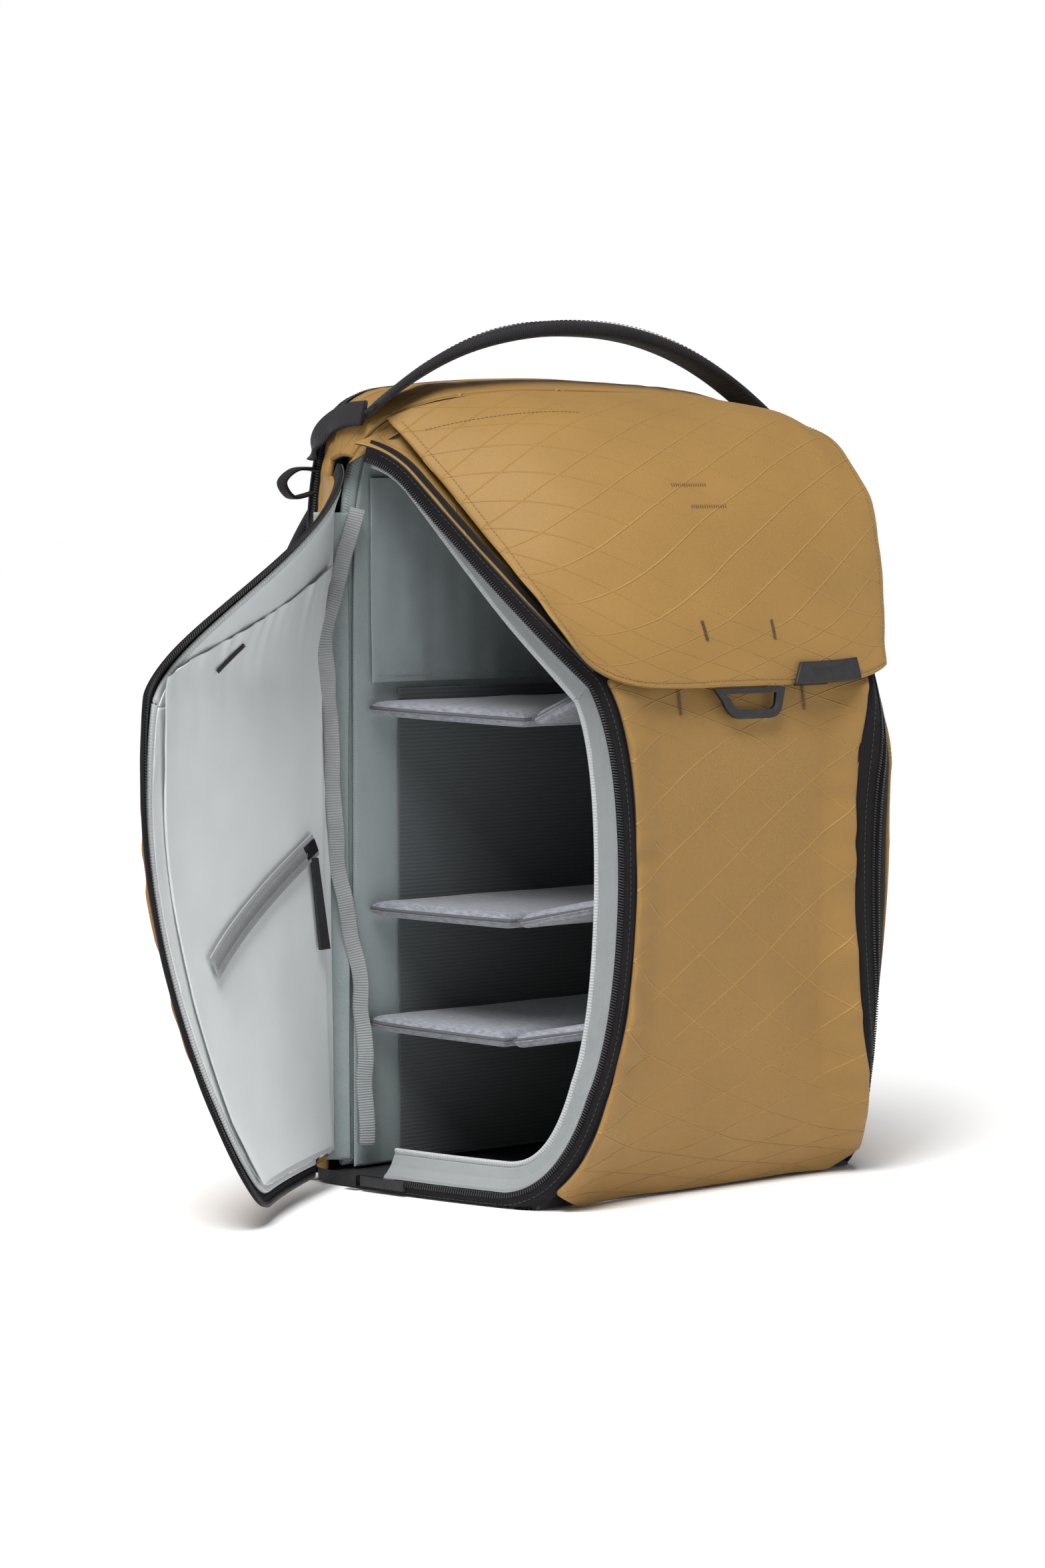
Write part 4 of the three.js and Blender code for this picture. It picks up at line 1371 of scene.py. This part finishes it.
def add_door_lining(side, name, place):
    """The light satin lining, drawn in under its binding."""
    area = door_area(12.5, 1.0, 0.10, 0.955)

    def sheet(u, v):
        return side_point(side, *area(u, v), 4.4)

    def slack(p, u, v):
        gather = noise(p, 7, 61) * smooth(u, 0.82, 1.0)
        folds = 1.2 * noise(p, (34, 34, 60), 62) + 0.6 * noise(p, 15, 63)
        return -(folds + gather + 2.2 * np.sin(np.pi * u) ** 0.7) * 0.8

    piece = cloth(f"{name}_door_lining_fabric", sheet, 100, 220, 2.0, lining, slack, radius=1.0,
                  place=place, uv=area)
    hang(piece, side, "grey_lining", f"{name}_door_lining")


def add_side_pocket(side, name, place):
    """The stretch pocket on the outside of a door."""

    def area(u, v):
        return mix(16, 150, u), mix(26, 232, v)

    def sheet(u, v):
        return side_point(side, *area(u, v), -1.4)

    def puff(p, u, v):
        body = 8 * np.sin(np.pi * u) * np.sin(np.pi * mix(0.12, 0.9, v))
        gather = 0.8 * noise(p, (6, 6, 60), 71) * smooth(v, 0.86, 1.0)
        return body + 0.8 * noise(p, 40, 72) + gather

    piece = cloth(f"{name}_side_pocket_fabric", sheet, 80, 100, 1.3, tan, puff, radius=0.9, place=place,
                  uv=area)
    hang(piece, side, "tan", f"{name}_side_pocket")


def add_right_hinge():
    """The ribbon that covers the hinge seam from inside."""

    def ribbon(u, v):
        bow = 1.6 * np.cos(np.pi * (u - 0.5))
        return side_point(RIGHT, mix(3, 13, u), mix(24, 398, v), 8.4 - bow)

    piece = cloth("right_hinge_ribbon", ribbon, 8, 200, 1.2, grey_rib, radius=0.6)
    ride(piece, "right_door", "grey_binding", "right_hinge_strip")


def add_hinge_gusset():
    """The lining runs on across the open hinge, from the door to the wall."""
    z = np.linspace(14, 388, 200)
    route = xyz(-158.0, 76 + 1.5 * noise(xyz(z, 0.0, 0.0), 30, 82), z)
    across = np.array([0.80, -0.60, 0.0])
    piece = sweep("left_hinge_gusset", route, across, oval(20, 1.2, 20, 3), wall_twill)
    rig.blend(piece, "bag_body", "left_door", SEAM_START, (-0.170, 0.066, 0.2))
    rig.slot(piece, "grey_lining")


# the open hinge's ribbon: height, and how far it lies towards the door (or the wall, below 0)
RIBBON_BOW = (
    (22, -20), (75, -18), (124, -14), (190, 2), (267, 9), (315, 15), (350, 0), (390, -15),
)


def add_left_hinge():
    """On the open side the ribbon has crept: it bows onto the door, and back onto the wall."""
    bow = spline(RIBBON_BOW)
    z = np.linspace(22, 390, 260)
    w = np.interp(z, bow[:, 0], bow[:, 1]) + 1.2 * noise(xyz(z, 0.0, 0.0), 14, 81)
    on_door, on_wall = np.maximum(w, 0), np.maximum(-w, 0)
    x = -158.3 - 0.91 * on_door + 0.8 * on_wall
    route = xyz(x, 69.0 - 0.41 * on_door - 0.25 * on_wall + 0.8 * np.sin(z / 7), z)
    across = np.array([0.777, -0.629, 0.0]) + 0.25 * np.sin(z / 23)[:, None] * [0.6, 0.8, 0]
    piece = sweep("left_hinge_ribbon", route, across, oval(9.5, 1.6, 20, 3), grey_rib)
    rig.blend(piece, "bag_body", "left_door", SEAM_START, (-0.178, 0.062, 0.2))
    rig.replaces(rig.slot(piece, "grey_binding"), "left_hinge_strip")


# ---- the zipped pocket inside the left door ----------------------------------------------------


def add_door_pocket():
    """The pocket sewn to the lining, from the door's foot up to a slanting top edge."""
    place = functools.partial(swing, side=LEFT)
    top_edge = Knots([(14, 358), (84, 326), (176, 300)])

    def reach(u, v):
        z = mix(24, top_edge.at(u)[..., 1], v)
        return mix(12, np.minimum(168, 132 + 0.6 * z), u), z

    def sheet(u, v):
        return side_point(LEFT, *reach(u, v), 8.2)

    def folds(p, u, v):
        gather = np.exp(-((1 - v) / 0.05)) * noise(p, (5, 5, 60), 91) * 2.2
        long = noise(p, (30, 30, 80), 92) * 1.2
        sag = 2.4 * np.sin(np.pi * u) * np.sin(np.pi * v)
        return -(sag + long + gather + 0.5 * noise(p, 14, 93))

    piece = cloth("door_pocket_fabric", sheet, 130, 150, 1.3, lining, folds, radius=0.7, place=place,
                  uv=reach)
    hang(piece, LEFT, "grey_lining", "left_door_pocket")
    share = np.linspace(0, 1, 12)
    route = place(side_point(LEFT, mix(93, 113, share), mix(315, 301, share), 11.0))
    piece = sweep("door_pocket_tack", route, np.array([0, 0, 1.0]), oval(2.4, 1.4, 10, 3), thread_black)
    hang(piece, LEFT, "black_tape")
    add_pocket_zip(place)


# the two ends of the pocket's zip, along the side and up
POCKET_ZIP_HIGH = np.array([24.0, 200.0])
POCKET_ZIP_LOW = np.array([138.0, 140.0])
POCKET_ZIP_LENGTH = 128.8


def on_pocket(distance, sideways, depth):
    """A point by the pocket zip: distance down it from its top end, sideways from its middle."""
    along = (POCKET_ZIP_LOW - POCKET_ZIP_HIGH) / np.linalg.norm(POCKET_ZIP_LOW - POCKET_ZIP_HIGH)
    across = np.array([-along[1], along[0]])
    distance, sideways, depth = np.broadcast_arrays(
        *(np.asarray(x, float) for x in (distance, sideways, depth))
    )
    p = POCKET_ZIP_HIGH + distance[..., None] * along + sideways[..., None] * across
    return side_point(LEFT, p[..., 0], p[..., 1], depth)


def add_pocket_zip(place):
    """The pocket zip's tape, with a row of stitches along each edge, and its teeth."""
    length = POCKET_ZIP_LENGTH

    def band(u, v):
        return on_pocket(u * length, mix(-7, 7, v), 12.6)

    piece = cloth("pocket_zip_tape", band, 60, 12, 1.2, grey_tape, radius=0.6, place=place)
    hang(piece, LEFT, "grey_binding", "left_pocket_zip")
    for sideways, name in ((-4.6, "upper"), (4.6, "lower")):
        s = np.linspace(2, length - 2, 60)
        line = on_pocket(s, sideways, 13.9)
        line, up = carried(place, line, unit(on_pocket(s, sideways, 15) - line))
        hang(stitches(f"pocket_zip_stitches_{name}", line, up, thread_grey, 3, 2.2), LEFT, "grey_binding")
    s = np.linspace(8, length - 3, 200)
    line = on_pocket(s, 0, 14.2)
    line, up = carried(place, line, unit(on_pocket(s, 0, 16) - line))
    hang(teeth("pocket_zip_teeth", line, up, coil_grey, 1.4, 4.2), LEFT, "grey_binding")


# ---- dividers ----------------------------------------------------------------------------------


def compartment_half(y):
    """Half the width of a divider at y."""
    t = np.clip((HINGE[1] - y) / (HINGE[1] - FRONT_EDGE[1]), 0, 1)
    x = cubic(HINGE[0], SIDE_PULL[0][0], SIDE_PULL[1][0], FRONT_EDGE[0], t)
    return np.minimum(x - WALL_ALLOWANCE, WIDEST_SHELF)


def add_divider(name, rear_z, crease_y, crease_z, front_y, rise):
    """A divider's rear shelf and its folding front leaf, each a padded plate."""
    for leaf, y0, z0, y1, z1 in (
        ("shelf", DIVIDER_REAR_Y, rear_z, crease_y + CREASE_GAP, crease_z),
        ("leaf", crease_y - CREASE_GAP, crease_z, front_y, crease_z + rise),
    ):
        body = f"{name}_{leaf}"

        def top(u, v, y0=y0, z0=z0, y1=y1, z1=z1):
            y = mix(y0, y1, v)
            return xyz(mix(-1, 1, u) * compartment_half(y), y, mix(z0, z1, v) + DIVIDER_THICK / 2)

        def crown(p, u, v):
            rounded = 1.6 * (1 - smooth(from_rim(u, v, 270, 95), 0, 9))
            return 0.35 * noise(p, 24, 101) - rounded

        below = np.array([0, 0, crease_z - 200.0])
        piece = cloth(f"divider_{name}_{leaf}_pad", top, 110, 48, DIVIDER_THICK - 0.6, divider_felt, crown,
                      radius=3.6, away=below)
        ride(piece, body, "grey_felt", f"divider_{name}_{leaf}")
        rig.padded(piece, fill=0.7)
        add_divider_piping(name, leaf, body, top)


def add_divider_piping(name, leaf, body, top):
    """The piping round a pad's edge, half way down it."""
    u = np.concatenate([np.linspace(0, 1, 60), np.ones(30), np.linspace(1, 0, 60), np.zeros(30)])
    v = np.concatenate([np.zeros(60), np.linspace(0, 1, 30), np.ones(60), np.linspace(1, 0, 30)])
    edge = top(u, v)
    inward = unit((edge.mean(0) - edge) * [1, 1, 0])
    route = edge + inward * 0.4 - [0, 0, DIVIDER_THICK / 2]
    piece = sweep(f"divider_{name}_{leaf}_piping", route, np.array([0, 0, 1.0]), oval(2.0, 1.6, 8, 2),
                  divider_seam)
    ride(piece, body, "grey_felt")


# ---- flap and latch ----------------------------------------------------------------------------


def flap_relief(p, u, v):
    """Soft hollows, ripples at the hem and creases that run from the tacks and the corners."""
    h = 2 * u - 1
    hem = 1 - smooth(v, 0.0, 0.12)
    edge = smooth(abs(h), 0.82, 1.0)
    ripple = noise(p, (26, 60, 60), 111) * 1.8 * hem
    side = noise(p, (60, 22, 16), 112) * 2.2 * edge
    tacks = peak(h, 0, 0.28) * peak(v, 0.62, 0.16)
    crown = 7.0 * peak(h, 0.72, 0.34) * peak(v, 0.84, 0.2) * (1 - smooth(h, 0.8, 1))
    return crown + 1.9 * noise(p, 85, 113) + 0.8 * noise(p, 34, 114) + ripple + side - tacks


FLAP_TACK_WIDE, FLAP_TACK_NARROW = 24, 15
# name, where across the flap, where up it, and whether the tack runs across
FLAP_TACKS = (
    ("upper", -0.02, 0.56, True),
    ("middle", 0.03, 0.50, True),
    ("left", -0.22, 0.215, False),
    ("right", 0.19, 0.215, False),
)


def add_flap():
    """The flap's fabric, its seam stitches and its bar tacks."""

    def surface(u, v):
        return flap_point(2 * u - 1, v)

    piece = cloth("flap_fabric", surface, 190, 140, FLAP_THICK, tan, flap_relief, radius=2.4,
                  inner=painted_shade_inside)
    ride(piece, "flap", "tan", "flap")
    rows = {
        "hem": (np.linspace(-0.97, 0.97, 200), np.full(200, 0.022)),
        "left": (np.full(160, -0.965), np.linspace(0.03, 0.97, 160)),
        "right": (np.full(160, 0.965), np.linspace(0.03, 0.97, 160)),
        "dart": (np.linspace(-0.93, -0.28, 80), mix(0.90, 0.83, np.linspace(0, 1, 80))),
    }
    for name, (h, v) in rows.items():
        line = flap_point(h, v)
        up = flap_normal(h, v)
        line = line + up * (flap_relief(line, (h + 1) / 2, v)[:, None] + 0.1)
        ride(stitches(f"flap_stitches_{name}", line, up, thread_tan, 2.6, 1.9), "flap", "tan")
    for name, h, v, wide in FLAP_TACKS:

        def spot(s, t, h=h, v=v, wide=wide):
            return flap_spot(h, v, s, t) if wide else flap_spot(h, v, t, s)

        width = FLAP_TACK_WIDE if wide else FLAP_TACK_NARROW
        ride(tack(f"flap_tack_{name}", spot, width, thread_brown), "flap", "tan")


def add_flap_seam():
    """The fabric under the flap's rear seam, which stretches from the body when the flap opens."""

    def strip(u, v):
        p = mix(flap_point(0.98 * (2 * u - 1), 0.955), top_surface(u, 0 * v + 0.08), v[..., None])
        p[..., 2] -= FLAP_THICK + 1.2
        return p

    piece = cloth("flap_seam_gusset", strip, 120, 16, 1.0, tan, radius=0.5, inner=painted_shade_inside)
    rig.slot(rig.blend(piece, "bag_body", "flap", (0, 0.052, 0.45), (0, 0.032, 0.45)), "tan")


def flap_normal(h, v):
    """The outward direction of the flap."""
    e = 2e-3
    a = flap_point(np.clip(h + e, -1, 1), v) - flap_point(np.clip(h - e, -1, 1), v)
    b = flap_point(h, np.clip(v + e, 0, 1)) - flap_point(h, np.clip(v - e, 0, 1))
    return unit(np.cross(a, b))


def flap_spot(h, v, across, up):
    """A point on the flap's fabric, by millimetres across and up from (h, v)."""
    width, length = 130.0, 225.0
    across, up = np.broadcast_arrays(np.asarray(across, float), np.asarray(up, float))
    hh, vv = h + across / width, v + up / length
    p = flap_point(hh, vv)
    return p + flap_normal(hh, vv) * flap_relief(p, (hh + 1) / 2, vv)[..., None]


def add_corner_tab():
    """The rubber tab on the flap's hem."""

    def tab(u, v):
        lean = mix(0, 6, v)
        return flap_point(mix(34 + lean, 92 - lean, u) / FLAP_EDGE_LOW[0], mix(-0.004, 0.085, v))

    def groove(p, u, v):
        along = smooth(u, 0.2, 0.23) * (1 - smooth(u, 0.77, 0.8))
        return 1.9 - 0.8 * along * np.exp(-(((v - 0.66) / 0.13) ** 4))

    piece = cloth("corner_tab_rubber", tab, 60, 24, 1.6, rubber_black, groove, radius=0.9)
    ride(piece, "flap", "black_rubber", "corner_tab")


# ---- CAD nodes that stay -----------------------------------------------------------------------


def refinish(node, material):
    """Keeps a CAD node, with its real finish."""
    obj = frame["nodes"][node]
    obj.data.materials.clear()
    obj.data.materials.append(material)
    return obj


def soften(node, material, width):
    """Keeps a CAD node, with its edges rounded and its real finish."""
    bevel = refinish(node, material).modifiers.new("edges", "BEVEL")
    bevel.width = width * MM
    bevel.segments = 3
    bevel.limit_method = "ANGLE"
    bevel.angle_limit = math.radians(35)
    bevel.harden_normals = False


def finish_hardware():
    """The base, the latch, and every zip's slider and pull."""
    refinish("base_panel", rubber_black)
    soften("latch_ring", metal, 0.7)
    soften("latch_mount", metal, 0.5)
    for name in ("left_pocket", "left_zip", "right_zip", "laptop"):
        soften(f"{name}_slider", metal, 0.7)
        soften(f"{name}_pull", rubber_black, 0.7)


# ---- handle, loops, straps and back pads -------------------------------------------------------


HANDLE_TOP, HANDLE_DROP = 496, 51
ANCHOR_ROUTE = ((150.5, 54, 444.5), (152, 68, 443.5), (153.5, 82, 439), (157, 88.5, 431), (161, 90.5, 418))
LOOP_ROUTE = ((148, 411), (160, 413), (171, 412), (179, 405), (173, 397), (162, 398), (152, 401))
STRAP_ROUTE = (
    (78, 109, 428), (108, 117, 392), (137, 124, 330), (143, 123, 255), (130, 114, 180), (118, 110, 130),
)
TAIL_ROUTE = ((118, 110, 140), (122, 106.5, 80), (132, 104.6, 32))


def add_handle():
    """The padded grip, thicker in its middle and twisted at its left end, and its two ends."""
    x = np.linspace(-HANDLE_HALF, HANDLE_HALF, 160)
    share = abs(x) / HANDLE_HALF
    route = xyz(x, HANDLE_Y, HANDLE_TOP - HANDLE_DROP * share**2.2)
    middle = np.cos(share * math.pi / 2)
    width = mix(26, 22, middle) + 0.4 * noise(route, 18, 121)
    thick = mix(4, 9.4, middle)
    scale = np.stack([width, thick], -1)
    twist = math.radians(24) * smooth(-x, 40, 130)
    across = xyz(0.0, np.cos(twist), -np.sin(twist))
    up = xyz(0.0, np.sin(twist), np.cos(twist))
    piece = sweep("handle_fabric", route, across, oval(1, 1, 28, 3.2), twill_black, scale)
    ride(piece, "top_handle", "charcoal", "top_handle")
    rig.padded(piece, fill=0.8)
    for offset, name in ((-0.36, "front"), (0.36, "rear")):
        line = route + across * (offset * width)[:, None] + up * (thick * 0.47 + 0.1)[:, None]
        row = stitches(f"handle_stitches_{name}", line[4:-4], up[4:-4], thread_black)
        ride(row, "top_handle", "charcoal")
    for side, name in SIDES:
        route = spline([(side * x, y, z) for x, y, z in ANCHOR_ROUTE], 12)
        across = unit(np.array([-0.35 * side, 0, 1.0]))
        piece = sweep(f"{name}_handle_anchor_fabric", route, across, oval(15, 3.0, 24, 4), twill_black)
        ride(piece, "bag_body", "charcoal", f"{name}_handle_anchor")


def add_side_loop(side, name):
    """A short webbing loop; both of its ends are sewn into the seam of the back panel."""
    outline = spline([(side * x, 94.5, z) for x, z in LOOP_ROUTE], 12)
    piece = sweep(f"{name}_loop_webbing", outline, np.array([0, 1.0, 0]), oval(9, 2.2, 16, 4), webbing)
    ride(piece, "bag_body", "black_tape", f"{name}_side_loop")


def add_strap(side, name):
    """A shoulder strap's pad, its two rows of stitches, and the webbing below it."""
    line = Line(spline([(side * x, y, z) for x, y, z in STRAP_ROUTE]))
    across = np.array([side, 0, 0.0])
    share = np.linspace(0, 1, 120)
    route = line.at(share)
    width = mix(50, 62, np.sin(np.pi * np.minimum(1, 1.15 * share)))
    ends = 1 - 0.35 * (1 - smooth(share, 0, 0.04)) - 0.35 * smooth(share, 0.96, 1)
    scale = np.stack([width * ends, 9.6 * ends], -1)
    piece = sweep(f"{name}_strap_padding", route, across, oval(1, 1, 36, 3.6), twill_black, scale)
    ride(piece, f"{name}_strap", "charcoal", f"{name}_strap_pad")
    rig.padded(piece, fill=0.7)
    for offset, tag in ((-0.4, "inner"), (0.4, "outer")):
        seam = (route + across * (offset * width)[:, None])[6:-6] + [0, 4.4, 0]
        row = stitches(f"{name}_strap_stitches_{tag}", seam, np.array([0, 1.0, 0]), thread_black)
        ride(row, f"{name}_strap", "charcoal")
    tail = spline([(side * x, y, z) for x, y, z in TAIL_ROUTE], 30)
    piece = sweep(f"{name}_strap_tail", tail, across, oval(25, 2.2, 20, 5), webbing)
    ride(piece, f"{name}_strap", "black_tape", f"{name}_strap_webbing")


def add_back_pad(side, name):
    """A long pad on the back, sewn across in channels."""

    def sheet(u, v):
        return xyz(side * 42 + mix(-28, 28, u), BACK_Y + BACK_THICK + 1.2, mix(73, 403, v))

    def channels(p, u, v):
        ribs = abs(np.sin(v * math.pi * 11)) ** 0.5
        return mix(0.2, 2.4, smooth(from_rim(u, v, 56, 330), 0, 9)) * mix(0.45, 1, ribs)

    piece = cloth(f"{name}_back_pad_mesh", sheet, 40, 220, 1.2, mesh_black, channels, radius=0.8)
    ride(piece, "bag_body", "charcoal", f"{name}_back_pad")
    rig.padded(piece, fill=0.6)


# ---- the bag -----------------------------------------------------------------------------------

add_camera()
add_stage()
add_front()
add_rear()
add_inner_sheets()
add_flap()
add_flap_seam()
add_corner_tab()
add_handle()
add_door_pocket()
for divider in DIVIDERS:
    add_divider(*divider)
for side, name in SIDES:
    add_opening(side, name)
    add_door(side, name)
    add_side_loop(side, name)
    add_strap(side, name)
    add_back_pad(side, name)
add_hinge_gusset()
add_left_hinge()
add_right_hinge()
finish_hardware()

with open("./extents.json", "w") as out:
    json.dump({key: [list(p) for p in box] for key, box in (("cad", cad_box), ("visual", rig.bounds()))}, out)
